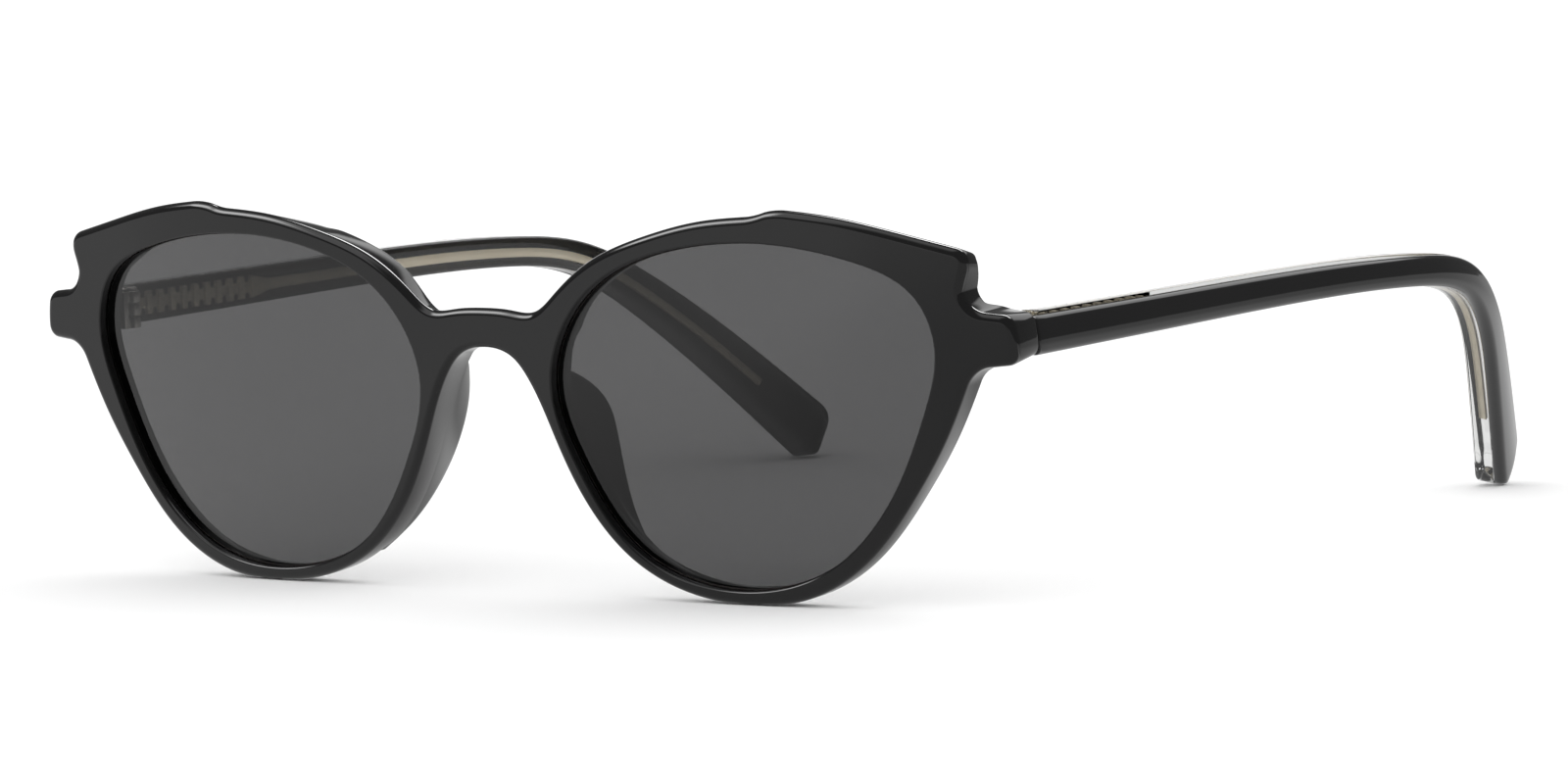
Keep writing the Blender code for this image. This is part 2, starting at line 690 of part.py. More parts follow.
def build_black_layer(name, side, paint):
    path = TemplePath(side)
    outer = TEMPLE_THICKNESS / 2
    rings = [layer_ring(path, s, outer - BLACK_LAYER, outer, BONDED_ROUND, TEMPLE_ROUND)
             for s in tip_stations(path, 0)]
    vertices, faces = join_rings(rings)
    return mesh_object(name, vertices, faces, paint, flat_base=True)


def wire_middle():
    """Across position of the wire: the middle of the clear layer."""
    inner = -TEMPLE_THICKNESS / 2
    outer = TEMPLE_THICKNESS / 2 - BLACK_LAYER - LAYER_GAP
    return (inner + outer) / 2


def wire_half_height(s):
    head_end = CLEAR_START - TEMPLE_START + RIB_COUNT * RIB_PITCH
    blend = smooth_step((s - head_end) / 4)
    strip = WIRE_HEIGHT - WIRE_TAPER * (s - head_end)
    return (WIRE_HEAD_HEIGHT * (1 - blend) + strip * blend) / 2


def build_clear_layer(name, side, paint):
    """The crystal layer, with the channel that the wire was shot into, open at the hinge end."""
    path = TemplePath(side)
    inner = -TEMPLE_THICKNESS / 2
    outer = TEMPLE_THICKNESS / 2 - BLACK_LAYER - LAYER_GAP
    start = CLEAR_START - TEMPLE_START
    skin = [layer_ring(path, s, inner, outer, TEMPLE_INNER_ROUND, BONDED_ROUND)
            for s in tip_stations(path, start)]
    channel_end = path.length - WIRE_END_MARGIN + 2 * WIRE_CLEARANCE
    middle = wire_middle()
    half_width = WIRE_THICKNESS / 2 + WIRE_CLEARANCE
    channel = []
    for s in stations(path, start, channel_end):
        half = wire_half_height(s) + WIRE_CLEARANCE
        section = rounded_section(middle - half_width, middle + half_width, half, 0.1, 0.1)
        channel.append(path.ring(s, [(across, up - WIRE_DROP) for across, up in section]))
    vertices, faces = join_rings(skin, close_start=False)
    offset = len(vertices)
    found, walls = join_rings(channel, close_start=False)
    vertices += found
    faces += [tuple(offset + i for i in wall) for wall in walls]
    size = len(skin[0])
    faces += [(i, (i + 1) % size, offset + (i + 1) % size, offset + i) for i in range(size)]
    return mesh_object(name, vertices, faces, paint, flat_base=True)


def build_wire(name, side, paint):
    """The flat core wire: a ribbed head, then a plain strip to near the tip."""
    path = TemplePath(side)
    start = CLEAR_START - TEMPLE_START + WIRE_SET_BACK
    end = path.length - WIRE_END_MARGIN
    middle = wire_middle()
    half_width = WIRE_THICKNESS / 2
    places = []
    for rib in range(RIB_COUNT - 2):
        foot = start + rib * RIB_PITCH
        places += [(foot, 0.0), (foot + 0.45 * RIB_PITCH, 0.0),
                   (foot + 0.55 * RIB_PITCH, RIB_DEPTH), (foot + 0.9 * RIB_PITCH, RIB_DEPTH)]
    places += [(s, 0.0) for s in stations(path, places[-1][0] + 0.3, end)]
    rings = []
    for s, notch in places:
        top = wire_half_height(s) - notch - WIRE_DROP
        bottom = notch - wire_half_height(s) - WIRE_DROP
        rings.append(path.ring(s, [(middle + half_width, top), (middle - half_width, top),
                                   (middle - half_width, bottom), (middle + half_width, bottom)]))
    vertices, faces = join_rings(rings)
    return mesh_object(name, vertices, faces, paint)


# ================================================================ hinges
def prism(outline, bottom, top):
    """An upright prism over a flat outline in the table plane, as vertices and faces."""
    rings = [[(x, y, z) for x, y in outline] for z in (bottom, top)]
    return join_rings(rings)


def knuckle(reach_x, reach_y, half_width, side, bottom, top):
    """A barrel with its arm towards (reach_x, reach_y) from the hinge axis, without the bore."""
    length = math.hypot(reach_x, reach_y)
    direction = math.atan2(reach_y, reach_x)
    lean = math.asin(half_width / BARREL_RADIUS)
    outline = [(length, -half_width), (length, half_width)]
    steps = BARREL_SIDES - 4
    for k in range(steps + 1):
        angle = lean + (2 * math.pi - 2 * lean) * k / steps
        outline.append((BARREL_RADIUS * math.cos(angle), BARREL_RADIUS * math.sin(angle)))
    turned = []
    for x, y in outline:
        turned_x = x * math.cos(direction) - y * math.sin(direction)
        turned_y = x * math.sin(direction) + y * math.cos(direction)
        turned.append((side * (HINGE_X + turned_x), FRONT_Y + HINGE_Y + turned_y))
    return prism(turned, bottom, top)


def box(x0, x1, y0, y1, z0, z1, side):
    corners = [(x0, y0), (x1, y0), (x1, y1), (x0, y1)]
    return prism([(side * x, FRONT_Y + y) for x, y in corners], z0, z1)


def circle(side, radius):
    """Points round the hinge axis."""
    angles = [2 * math.pi * k / BARREL_SIDES for k in range(BARREL_SIDES)]
    return [(side * HINGE_X + radius * math.cos(a), FRONT_Y + HINGE_Y + radius * math.sin(a)) for a in angles]


def bore(side):
    """The cutter for the screw's hole, through all three barrels."""
    return prism(circle(side, BORE_RADIUS), barrel_level(0)[0] - PAST_END, barrel_level(2)[1] + PAST_END)


def combine(name, bodies, cutters, paint):
    """The union of overlapping bodies, less the cutters."""
    result = mesh_object(name, *bodies[0], paint)
    for operation, shapes in (("UNION", bodies[1:]), ("DIFFERENCE", cutters)):
        for shape in shapes:
            tool = mesh_object(name + "_tool", *shape, paint)
            tool.hide_render = True
            tool.display_type = "WIRE"
            change = result.modifiers.new(operation.title(), "BOOLEAN")
            change.operation = operation
            change.solver = "EXACT"
            change.object = tool
    return result


def barrel_level(index):
    """Bottom and top of barrel 0, 1 or 2, counted from below."""
    pitch = BARREL_HEIGHT + BARREL_GAP
    middle = HINGE_Z + (index - 1) * pitch
    return middle - BARREL_HEIGHT / 2, middle + BARREL_HEIGHT / 2


def build_front_hinge(name, side, paint):
    """Leaf on the endpiece's back, with the upper and lower barrels."""
    bodies = [box(LEAF_INNER, LEAF_OUTER, LEAF_FRONT, LEAF_BACK,
                  barrel_level(0)[0], barrel_level(2)[1], side)]
    reach = (LEAF_FRONT + LEAF_BACK) / 2 - HINGE_Y
    for index in (0, 2):
        bodies.append(knuckle(0.0, reach, ARM_HALF_WIDTH, side, *barrel_level(index)))
    return combine(name, bodies, [bore(side)], paint)


def build_temple_hinge(name, side, paint):
    """Middle barrel, its arm, and the tongue that sits in the head of the temple."""
    bottom, top = barrel_level(1)
    tongue_x = temple_path()[0][0] + wire_middle()
    arm = knuckle(tongue_x - HINGE_X, 1.0, MIDDLE_ARM_HALF_WIDTH, side, bottom, top)
    tongue = box(tongue_x - TONGUE_THICKNESS / 2, tongue_x + TONGUE_THICKNESS / 2, TEMPLE_START + 0.1,
                 TONGUE_END, HINGE_Z - TONGUE_HEIGHT / 2, HINGE_Z + TONGUE_HEIGHT / 2, side)
    return combine(name, [tongue, arm], [bore(side)], paint)


def build_screw(name, side, paint):
    """The hinge screw: a turned shank and a slotted head above the top barrel."""
    top = barrel_level(2)[1] + SCREW_HEAD_LIFT
    bottom = barrel_level(0)[0] + SCREW_END_RECESS
    profile = [(SCREW_RADIUS, bottom), (SCREW_RADIUS, top), (SCREW_HEAD_RADIUS, top),
               (SCREW_HEAD_RADIUS, top + 0.6 * SCREW_HEAD_HEIGHT),
               (0.75 * SCREW_HEAD_RADIUS, top + SCREW_HEAD_HEIGHT)]
    rings = [[(x, y, z) for x, y in circle(side, radius)] for radius, z in profile]
    slot_reach = 1.2 * SCREW_HEAD_RADIUS
    slot = box(HINGE_X - slot_reach, HINGE_X + slot_reach, HINGE_Y - SLOT_HALF_WIDTH,
               HINGE_Y + SLOT_HALF_WIDTH, top + 0.5 * SCREW_HEAD_HEIGHT, top + PAST_END, side)
    return combine(name, [join_rings(rings)], [slot], paint)


# ================================================================ assembly
def clear_scene():
    for thing in list(bpy.data.objects):
        bpy.data.objects.remove(thing, do_unlink=True)


def pivot_at(pieces, name, side):
    """Pieces that fold together share a parent empty on the hinge axis."""
    empty = bpy.data.objects.new(name, None)
    empty.location = Vector((side * HINGE_X, FRONT_Y + HINGE_Y, HINGE_Z)) * MM
    bpy.context.scene.collection.objects.link(empty)
    for piece in pieces:
        piece.parent = empty
        piece.matrix_parent_inverse.translation = -empty.location


def main():
    clear_scene()
    black = material("black_acetate", (0.006, 0.006, 0.007), 0.08)
    crystal = material("crystal_acetate", (0.92, 0.93, 0.92), 0.05, alpha=0.35)
    tint = material("grey_lens", (0.05, 0.05, 0.055), 0.03, alpha=0.75)
    champagne = material("champagne_wire", (0.72, 0.62, 0.46), 0.3, metallic=1.0)
    steel = material("hinge_metal", (0.70, 0.68, 0.64), 0.28, metallic=1.0)
    build_front(black)
    for side, word in ((1, "left"), (-1, "right")):
        build_lens("lens_" + word, side, tint)
        build_pad("nose_pad_" + word, side, black)
        build_front_hinge("front_hinge_" + word, side, steel)
        build_screw("hinge_screw_" + word, side, steel)
        folding = [build_black_layer("temple_outer_" + word, side, black),
                   build_clear_layer("temple_inner_" + word, side, crystal),
                   build_wire("core_wire_" + word, side, champagne),
                   build_temple_hinge("temple_hinge_" + word, side, steel)]
        pivot_at(folding, "fold_axis_" + word, side)


main()
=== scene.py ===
"""Looks of the cat eye sunglasses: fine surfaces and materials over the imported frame.

Shapes are worked out in millimetres and turned into metres by mesh_piece(). The front is drawn in
its own plane, as in the frame: u towards the wearer's left (+X), v up the front, w backwards from
the front face. The hinge axes, and so the place of everything else, come from the frame's joints.
"""
import json
import math

import bmesh
import bpy
import numpy as np
from mathutils import Matrix, Vector
from mathutils.geometry import delaunay_2d_cdt


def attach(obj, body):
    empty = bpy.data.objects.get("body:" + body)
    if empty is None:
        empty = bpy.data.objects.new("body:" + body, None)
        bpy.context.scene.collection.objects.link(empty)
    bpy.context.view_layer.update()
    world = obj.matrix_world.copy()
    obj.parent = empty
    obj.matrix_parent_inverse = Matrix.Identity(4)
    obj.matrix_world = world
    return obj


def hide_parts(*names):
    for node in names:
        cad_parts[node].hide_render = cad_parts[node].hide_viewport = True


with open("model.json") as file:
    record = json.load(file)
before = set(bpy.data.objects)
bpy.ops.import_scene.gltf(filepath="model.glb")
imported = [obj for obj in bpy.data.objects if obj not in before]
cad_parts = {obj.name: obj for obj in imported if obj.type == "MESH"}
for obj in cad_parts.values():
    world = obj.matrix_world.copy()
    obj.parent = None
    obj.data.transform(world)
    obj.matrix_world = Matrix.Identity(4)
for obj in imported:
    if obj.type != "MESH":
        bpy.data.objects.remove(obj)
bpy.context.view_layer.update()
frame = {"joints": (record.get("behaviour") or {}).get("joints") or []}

MM = 0.001
hinge_axis = np.array(frame["joints"][0]["pos_m"]) / MM
HINGE_X, HINGE_Y, HINGE_Z = abs(hinge_axis[0]), hinge_axis[1], hinge_axis[2]

# -------- front
TILT = math.radians(4.2)
JOINT_TO_AXIS = 0.2
FRONT_TO_JOINT = 9.7
FRONT_Y = HINGE_Y - JOINT_TO_AXIS - FRONT_TO_JOINT
RIM_DROP = 17.38
FRONT_THICKNESS = 3.9
FACE_FORM_SAG = 4.45
FACE_FORM_REACH = 65.0
FACE_FORM_END = 56.0
UPRIGHT_BEND = 0.00096
EDGE_ROUND = 0.85
OPENING_ROUND = 0.22
ENDPIECE_TOP = 15.75
ENDPIECE_BOTTOM = 10.2
ENDPIECE_OUT = 71.9
ENDPIECE_INNER = 66.8
ENDPIECE_FOOT = 0.9
ENDPIECE_FADE = 1.2
CORNER_ROUND = 1.3
CORNER_ROUNDS = [1.2, 1.9, 2.2, 2.0, CORNER_ROUND, CORNER_ROUND, 2.0]
BRIDGE_DRAFT = 0.9
ENDPIECE_DRAFT = 0.4
BROW_DRAFT = 0.9
JOINT_FACE_ROUND = 0.4  # of the temple's front end
EDGE_SHOULDER = 1.15  # the last ring on the face, in edge radii from the wall

# Zones along the front's edges. Each pair is where a zone's share is 0 and where it reaches 1.
BRIDGE_SIDE = (14.0, 8.0)
BRIDGE_HEIGHT = (12.0, 14.0)
JOINT_SIDE = (66.3, 68.3)
JOINT_HEIGHT = (ENDPIECE_TOP + 2.0, ENDPIECE_TOP)
BROW_SIDE = (16.0, 40.0)
BROW_HEIGHT = (24.2, 25.0)  # over the lens openings
WING_SIDE = (50.0, 59.0)
WING_HEIGHT = (18.5, 22.0)
WING_TIP_SIDE = (60.0, 63.0)
WING_TIP_HEIGHT = (18.0, 20.0)
PAD_REACH = 20.0
PAD_ZONE_TOP = (10.8, 9.2)
PAD_ZONE_BOTTOM = (-14.0, -12.0)

# Share of the back edge's round that is taken away in them.
PAD_SHARPER = 0.97
JOINT_SHARPER = 0.35
WING_TIP_SHARPER = 0.5

# -------- lenses
GROOVE_FRONT = 1.2
GROOVE_BACK = 2.9
GROOVE_DEPTH = 0.75
GROOVE_SLOPE = 0.3
LENS_OVERLAP = 0.6
LENS_THICKNESS = 1.6
LENS_EDGE = 0.7
LENS_BEVEL = 0.2  # ground matt, just inside the opening
LENS_BEVEL_STEEP = 0.12  # how much deeper than wide it is
LENS_BULGE = 0.3

# -------- nose pads
PAD_THICKNESS = 2.0
PAD_SPLAY_TOP = 0.34
PAD_SPLAY_BOTTOM = -0.06
PAD_TOP = 9.0  # the splay changes from here down
PAD_SPLAY_SPAN = 21.5
PAD_SUNK = 0.5  # how deep its foot stands in the rim
PAD_FLARE = 0.25  # how much wider the foot is
PAD_THIN = 0.62  # share of its thickness left at its ends
PAD_FULL_HEIGHT = 4.0  # where it stands this high it is full thickness
NASAL_SIDE = (4.0, 30.0)  # the outline between these, below NASAL_TOP, is the nasal edge
NASAL_TOP = 10.3

# -------- temples
TEMPLE_THICKNESS = 4.2
BLACK_LAYER = 1.5
BOND = 0.02  # the layers are shown as good as touching
TEMPLE_ROUND = 0.9
TEMPLE_INNER_ROUND = 0.5
JOINT_GAP = 0.1
PATH_GAP = 0.3
TEMPLE_START = FRONT_TO_JOINT + PATH_GAP
CLEAR_START = 1.7  # measured along the temple
END_ROUND = 2.0
END_SHEAR = 0.16
SHEAR_ZONE = (0.85, 1.0)  # shares of the temple's length between which the shear sets in
END_DRAW_IN = 0.8  # how much an end's round takes off the height
END_SQUEEZE = 0.25  # and off the thickness, at the tip
JOINT_SQUEEZE = 0.5  # and at the joint
STRIDE = 1.6  # between rings along a temple
BEND_STRIDE = 0.72
BOND_EDGE = 0.06  # broken edges of the bonded faces
BEND_START = 0.5  # share of the length where the rings come closer
CROWN_LEAN = math.radians(6.5)  # the outer face leans up by this much at mid height
CROWN_TURN = math.radians(18.0)  # and turns by this much from its lower to its upper edge
TOP_CUT_BACK = 0.42  # over the straight, the black layer ends this far below the clear one
TOP_CUT_ZONE = (0.7, 0.5)

# -------- core wire
WIRE_THICKNESS = 0.9
WIRE_HEIGHT = 1.35
WIRE_TAPER = 0.0035
WIRE_HEAD_HEIGHT = 2.8
RIB_PITCH = 2.2
RIB_DEPTH = 0.75
RIB_COUNT = 12
WIRE_END_MARGIN = 12.0
WIRE_START = CLEAR_START + 4.4
WIRE_NECK = 4.0  # over this length the head narrows to the strip
RIB_SHAPE = ((0.0, 0.0), (0.42, 0.0), (0.5, 0.7), (0.58, 1.0), (0.84, 1.0), (0.92, 0.7))
WIRE_DROP = 0.15
WIRE_EDGE = 0.1  # its rounded edges
WIRE_MIDDLE = -BLACK_LAYER / 2 - 0.1
RIB_SQUEEZE = 0.35  # how much of a notch's depth is cut from the sides too

# -------- hinges
BARREL_RADIUS = 1.3
BARREL_HEIGHT = 1.4
BARREL_GAP = 0.15
BORE_RADIUS = 0.6
SCREW_RADIUS = 0.5
SCREW_HEAD_RADIUS = 1.0
SCREW_HEAD_HEIGHT = 0.45
TONGUE_THICKNESS = 0.8
TONGUE_HEIGHT = 2.6
TONGUE_END = 3.9  # it reaches this far into the clear layer
LEAF_INNER = 62.2
LEAF_OUTER = 65.1
LEAF_BACK = 1.3  # its back face lies this far in front of the axis
LEAF_THICKNESS = 0.8
ARM_HALF = 0.9
METAL_EDGE = 0.12  # broken edges of the hinge parts
SLOT_HALF = 0.13
SLOT_DEPTH = 0.22

# How finely curves are cut.
DENSE_STEP = 0.2
FINE_TOLERANCE = 0.0015
LONGEST_CHORD = 0.9
FACE_GRID = 1.3
ROUND_STEPS = 7


# ======== curves
def run_length(points):
    """The distance along a run of points, at each of them."""
    return np.concatenate([[0], np.cumsum(np.linalg.norm(np.diff(points, axis=0), axis=1))])


def cubic_spline(points, step=DENSE_STEP):
    """A smooth curve through the points, its bending continuous, free at both ends."""
    points = np.asarray(points, float)
    count = len(points)
    knots = run_length(points)
    gap = np.diff(knots)
    system = np.eye(count)
    right = np.zeros_like(points)
    for i in range(1, count - 1):
        system[i, i - 1] = gap[i - 1]
        system[i, i] = 2 * (gap[i - 1] + gap[i])
        system[i, i + 1] = gap[i]
        rise_after = (points[i + 1] - points[i]) / gap[i]
        rise_before = (points[i] - points[i - 1]) / gap[i - 1]
        right[i] = 6 * (rise_after - rise_before)
    bend = np.linalg.solve(system, right)
    samples = np.linspace(0, knots[-1], max(2, int(round(knots[-1] / step)) + 1))
    place = np.clip(np.searchsorted(knots, samples, side="right") - 1, 0, count - 2)
    before = (samples - knots[place])[:, None]
    after = (knots[place + 1] - samples)[:, None]
    width = gap[place][:, None]
    cubic = (bend[place] * after**3 + bend[place + 1] * before**3) / (6 * width)
    start = (points[place] / width - bend[place] * width / 6) * after
    end = (points[place + 1] / width - bend[place + 1] * width / 6) * before
    return cubic + start + end


def closed_spline(points, step=DENSE_STEP):
    """The same through a ring of points, by running over its seam on both sides."""
    count = len(points)
    lap = 4
    ring = [points[i % count] for i in range(-lap, count + lap + 1)]
    curve = cubic_spline(ring, step)
    half = len(curve) // 2
    away = np.linalg.norm(curve - points[0], axis=1)
    return curve[np.argmin(away[:half]):half + np.argmin(away[half:])]


def mirrored(points):
    """Points of the +X half, continued as their mirror image on the -X half, left to right."""
    return [(-u, v) for u, v in reversed(points) if u > 0] + list(points)


def round_corner(before, after, reach):
    """Ends of two curves that meet in a corner, joined by a smooth bend of the given reach."""
    def cut_back(curve):
        length = run_length(curve)
        return curve[length <= max(length[-1] - reach, 0)]

    head = cut_back(before)
    tail = cut_back(after[::-1])[::-1]
    corner = before[-1]
    t = np.linspace(0, 1, 17)[1:-1, None]
    handle_a = head[-1] + 0.6 * (corner - head[-1])
    handle_b = tail[0] + 0.6 * (corner - tail[0])
    bend = ((1 - t)**3 * head[-1] + 3 * (1 - t)**2 * t * handle_a
            + 3 * (1 - t) * t**2 * handle_b + t**3 * tail[0])
    return head, bend, tail


def chain(runs, reaches):
    """A closed loop from curves that meet end to end, every meeting point rounded."""
    runs = list(runs)
    bends = []
    for i, reach in enumerate(reaches):
        following = (i + 1) % len(runs)
        runs[i], bend, runs[following] = round_corner(runs[i], runs[following], reach)
        bends.append(bend)
    loop = np.concatenate([part for pair in zip(runs, bends) for part in pair])
    apart = np.linalg.norm(loop - np.roll(loop, 1, axis=0), axis=1) > 0.02
    return loop[apart]


def counter_clockwise(loop):
    area = np.sum(loop[:, 0] * np.roll(loop[:, 1], -1) - np.roll(loop[:, 0], -1) * loop[:, 1])
    return loop if area > 0 else loop[::-1]


def outward_normals(loop):
    along = np.roll(loop, -1, axis=0) - np.roll(loop, 1, axis=0)
    normal = np.stack([along[:, 1], -along[:, 0]], axis=1)
    return normal / np.linalg.norm(normal, axis=1)[:, None]


def corners_to_keep(loop):
    """Indices of a dense closed loop that follow it closely, with no long chord."""
    def split(first, last):
        if last - first < 2:
            return []
        start = loop[first]
        chord = loop[last % len(loop)] - start
        length = np.linalg.norm(chord)
        offset = loop[first + 1:last] - start
        away = np.abs(chord[0] * offset[:, 1] - chord[1] * offset[:, 0]) / max(length, 1e-9)
        if away.max() < FINE_TOLERANCE and length < LONGEST_CHORD:
            return []
        middle = (first + last) // 2
        return split(first, middle) + [middle] + split(middle, last)

    marks = [0, len(loop) // 3, 2 * len(loop) // 3]
    kept = []
    for first, last in zip(marks, marks[1:] + [len(loop)]):
        kept += [first] + split(first, last)
    return kept


def inside(points, loop):
    """Which points lie inside a closed loop."""
    result = np.zeros(len(points), bool)
    for (x0, y0), (x1, y1) in zip(loop, np.roll(loop, -1, axis=0)):
        if y0 == y1:
            continue
        spans = (y0 > points[:, 1]) != (y1 > points[:, 1])
        crossing = x0 + (points[:, 1] - y0) * (x1 - x0) / (y1 - y0)
        result ^= spans & (points[:, 0] < crossing)
    return result


def smooth_step(x):
    x = np.clip(x, 0, 1)
    return x * x * (3 - 2 * x)


def ramp(value, ends):
    """0 up to the first end and 1 from the second on, smooth between them."""
    zero, one = ends
    return smooth_step((value - zero) / (one - zero))


# ======== meshes
def mesh_piece(name, vertices, faces, paints, sharp=38, paint_of=None):
    """A smooth mesh in metres, never below the table; paint_of gives each face its material number."""
    mesh = bpy.data.meshes.new(name)
    made = bmesh.new()
    corners = [made.verts.new(Vector((x, y, max(z, 0.0))) * MM) for x, y, z in vertices]
    for number, face in enumerate(faces):
        made_face = made.faces.new([corners[i] for i in face])
        if paint_of is not None:
            made_face.material_index = paint_of[number]
    bmesh.ops.recalc_face_normals(made, faces=made.faces)
    made.to_mesh(mesh)
    made.free()
    mesh.shade_smooth()
    mesh.set_sharp_from_angle(angle=math.radians(sharp))
    for paint in paints:
        mesh.materials.append(paint)
    piece = bpy.data.objects.new(name, mesh)
    bpy.context.scene.collection.objects.link(piece)
    return piece


def stand_in(piece, node, body):
    """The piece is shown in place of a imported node, and rides on a body."""
    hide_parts(node)
    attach(piece, body)


def join_rings(rings, close_start=True, close_end=True):
    """Side faces between rings of equal length, with the end rings filled if asked."""
    size = len(rings[0])
    vertices = [tuple(p) for ring in rings for p in ring]
    faces = []
    for r in range(len(rings) - 1):
        for i in range(size):
            a = r * size + i
            b = r * size + (i + 1) % size
            faces.append((a, b, b + size, a + size))
    if close_start:
        faces.append(tuple(range(size)))
    if close_end:
        last = (len(rings) - 1) * size
        faces.append(tuple(range(last, last + size)))
    return vertices, faces


def gather(shapes):
    """Several shapes of vertices and faces as one."""
    vertices = []
    faces = []
    for found, walls in shapes:
        start = len(vertices)
        vertices += [tuple(p) for p in found]
        faces += [tuple(start + i for i in wall) for wall in walls]
    return vertices, faces


def fill_between(outer, holes, guides):
    """Triangles over a flat region with holes; returns the inner points used and the triangles."""
    rings = [outer] + holes
    points = np.concatenate(rings)
    edges = []
    start = 0
    for ring in rings:
        edges += [(start + i, start + (i + 1) % len(ring)) for i in range(len(ring))]
        start += len(ring)

    def on_face(places):
        free = inside(places, outer)
        for hole in holes:
            free &= ~inside(places, hole)
        return free

    low, high = outer.min(axis=0), outer.max(axis=0)
    rows = np.arange(low[1] + FACE_GRID / 3, high[1], FACE_GRID * 0.87)
    grid = np.array([(u + (k % 2) * FACE_GRID / 2, v) for k, v in enumerate(rows)
                     for u in np.arange(low[0] + FACE_GRID / 3, high[0], FACE_GRID)])
    everything = points
    for candidates, clearance in ((guides, 0.12), (grid, 0.45 * FACE_GRID)):
        keep = on_face(candidates)
        for i in np.flatnonzero(keep):
            keep[i] = np.linalg.norm(everything - candidates[i], axis=1).min() > clearance
        everything = np.concatenate([everything, candidates[keep]])
    inner = everything[len(points):]
    result = delaunay_2d_cdt([Vector(p) for p in everything], edges, [], 0, 1e-7)
    origin = [source[0] for source in result[3]]
    corners = [[origin[i] for i in face] for face in result[2]]
    centres = np.array([everything[face].mean(axis=0) for face in corners])
    return inner, [face for face, good in zip(corners, on_face(centres)) if good]


# ======== front
def face_depth(u, v):
    """How far the front face has bent back at a place."""
    inner = np.minimum(np.abs(u), FACE_FORM_END)
    sag = FACE_FORM_SAG * (inner / FACE_FORM_REACH) ** 4
    slope = 4 * FACE_FORM_SAG * FACE_FORM_END**3 / FACE_FORM_REACH**4
    return sag + slope * (np.abs(u) - inner) + UPRIGHT_BEND * v**2


def front_to_world(u, v, w):
    y = FRONT_Y + w * math.cos(TILT) - v * math.sin(TILT)
    z = RIM_DROP + w * math.sin(TILT) + v * math.cos(TILT)
    return np.stack([np.broadcast_to(u, np.shape(y)), y, z], axis=-1)


def back_depth(u, v):
    """Depth of the back face: the sheet's thickness, and the endpiece standing up to the joint."""
    sheet = face_depth(u, v) + FRONT_THICKNESS
    joint = (FRONT_TO_JOINT + v * math.sin(TILT)) / math.cos(TILT)
    inner = smooth_step((np.abs(u) - ENDPIECE_INNER + ENDPIECE_FOOT) / ENDPIECE_FOOT)
    below_top = smooth_step((ENDPIECE_TOP + ENDPIECE_FADE - v) / ENDPIECE_FADE)
    above_bottom = smooth_step((v - ENDPIECE_BOTTOM + ENDPIECE_FADE) / ENDPIECE_FADE)
    return sheet + inner * below_top * above_bottom * np.maximum(joint - sheet, 0)


def endpiece_foot_points():
    """Points along the slopes round the thickened part, so that the back face follows them."""
    share = np.linspace(1, 0, 6)
    across = [*(ENDPIECE_INNER - ENDPIECE_FOOT * share), *np.arange(67.4, 71.4, 0.6)]
    slope = ENDPIECE_FADE * share
    rows = [*(ENDPIECE_BOTTOM - slope), *np.arange(10.9, 15.4, 0.7), *(ENDPIECE_TOP + slope[::-1])]
    return np.array([(side * u, v) for side in (1, -1) for u in across for v in rows])


def front_outline():
    """The outer edge of the front: bridge, stepped brow, wing, notch, endpiece and rim."""
    step_foot = (39.4, 27.1)
    step_top = (42.0, 27.95)
    wing_tip = (66.9, 22.9)
    notch = (65.8, 16.4)
    bridge_and_brow = mirrored([(0.0, 16.0), (4.0, 15.8), (7.4, 15.65), (10.6, 17.8), (16.4, 21.9),
                                (24.0, 24.7), (32.0, 26.5), step_foot])
    wing = [step_top, (50.0, 27.0), (58.5, 25.05), wing_tip]
    wing_side = [wing_tip, (66.0, 20.2), (65.5, 18.2), notch]
    endpiece_side = [(ENDPIECE_OUT - 0.55, ENDPIECE_TOP), (ENDPIECE_OUT - 0.12, 13.4),
                     (ENDPIECE_OUT, 11.8), (ENDPIECE_OUT - 0.1, ENDPIECE_BOTTOM)]
    rim_top = (66.2, ENDPIECE_BOTTOM - 0.5)
    rim = mirrored([(0.0, 11.35), (4.0, 10.25), (6.0, 8.0), (9.4, 0.9), (13.3, -6.7), (19.0, -12.9),
                    (26.6, -16.6), (34.5, -17.8), (43.0, -16.9), (51.5, -12.2), (57.8, -5.0),
                    (62.2, 1.6), rim_top])
    right = [cubic_spline([step_foot, step_top]), cubic_spline(wing), cubic_spline(wing_side),
             cubic_spline([notch, endpiece_side[0]]), cubic_spline(endpiece_side),
             cubic_spline([endpiece_side[-1], rim_top])]
    flip = np.array([-1.0, 1.0])
    left = [(run * flip)[::-1] for run in reversed(right)]
    runs = [cubic_spline(bridge_and_brow)] + right + [cubic_spline(rim)[::-1]] + left
    return counter_clockwise(chain(runs, CORNER_ROUNDS + CORNER_ROUNDS[::-1]))


def opening_outline(side):
    """The lens opening at the front face."""
    points = np.array([(61.8, 12.0), (59.7, 17.9), (52.0, 22.05), (38.6, 24.1), (25.5, 22.65),
                       (14.5, 17.0), (9.8, 7.4), (12.6, -2.0), (19.8, -11.7), (33.5, -16.1),
                       (46.5, -13.3), (55.3, -4.8), (60.0, 4.7)])
    return counter_clockwise(closed_spline(points * np.array([side, 1.0])))


def pad_zone(u, v):
    """1 where a nose pad grows out of the rim and its back edge stays square, else 0."""
    return (np.abs(u) < PAD_REACH) * ramp(v, PAD_ZONE_TOP) * ramp(v, PAD_ZONE_BOTTOM)


def joint_zone(u, v):
    """1 round the endpiece, where the back edge belongs to the joint and is less rounded."""
    return ramp(np.abs(u), JOINT_SIDE) * ramp(v, JOINT_HEIGHT)


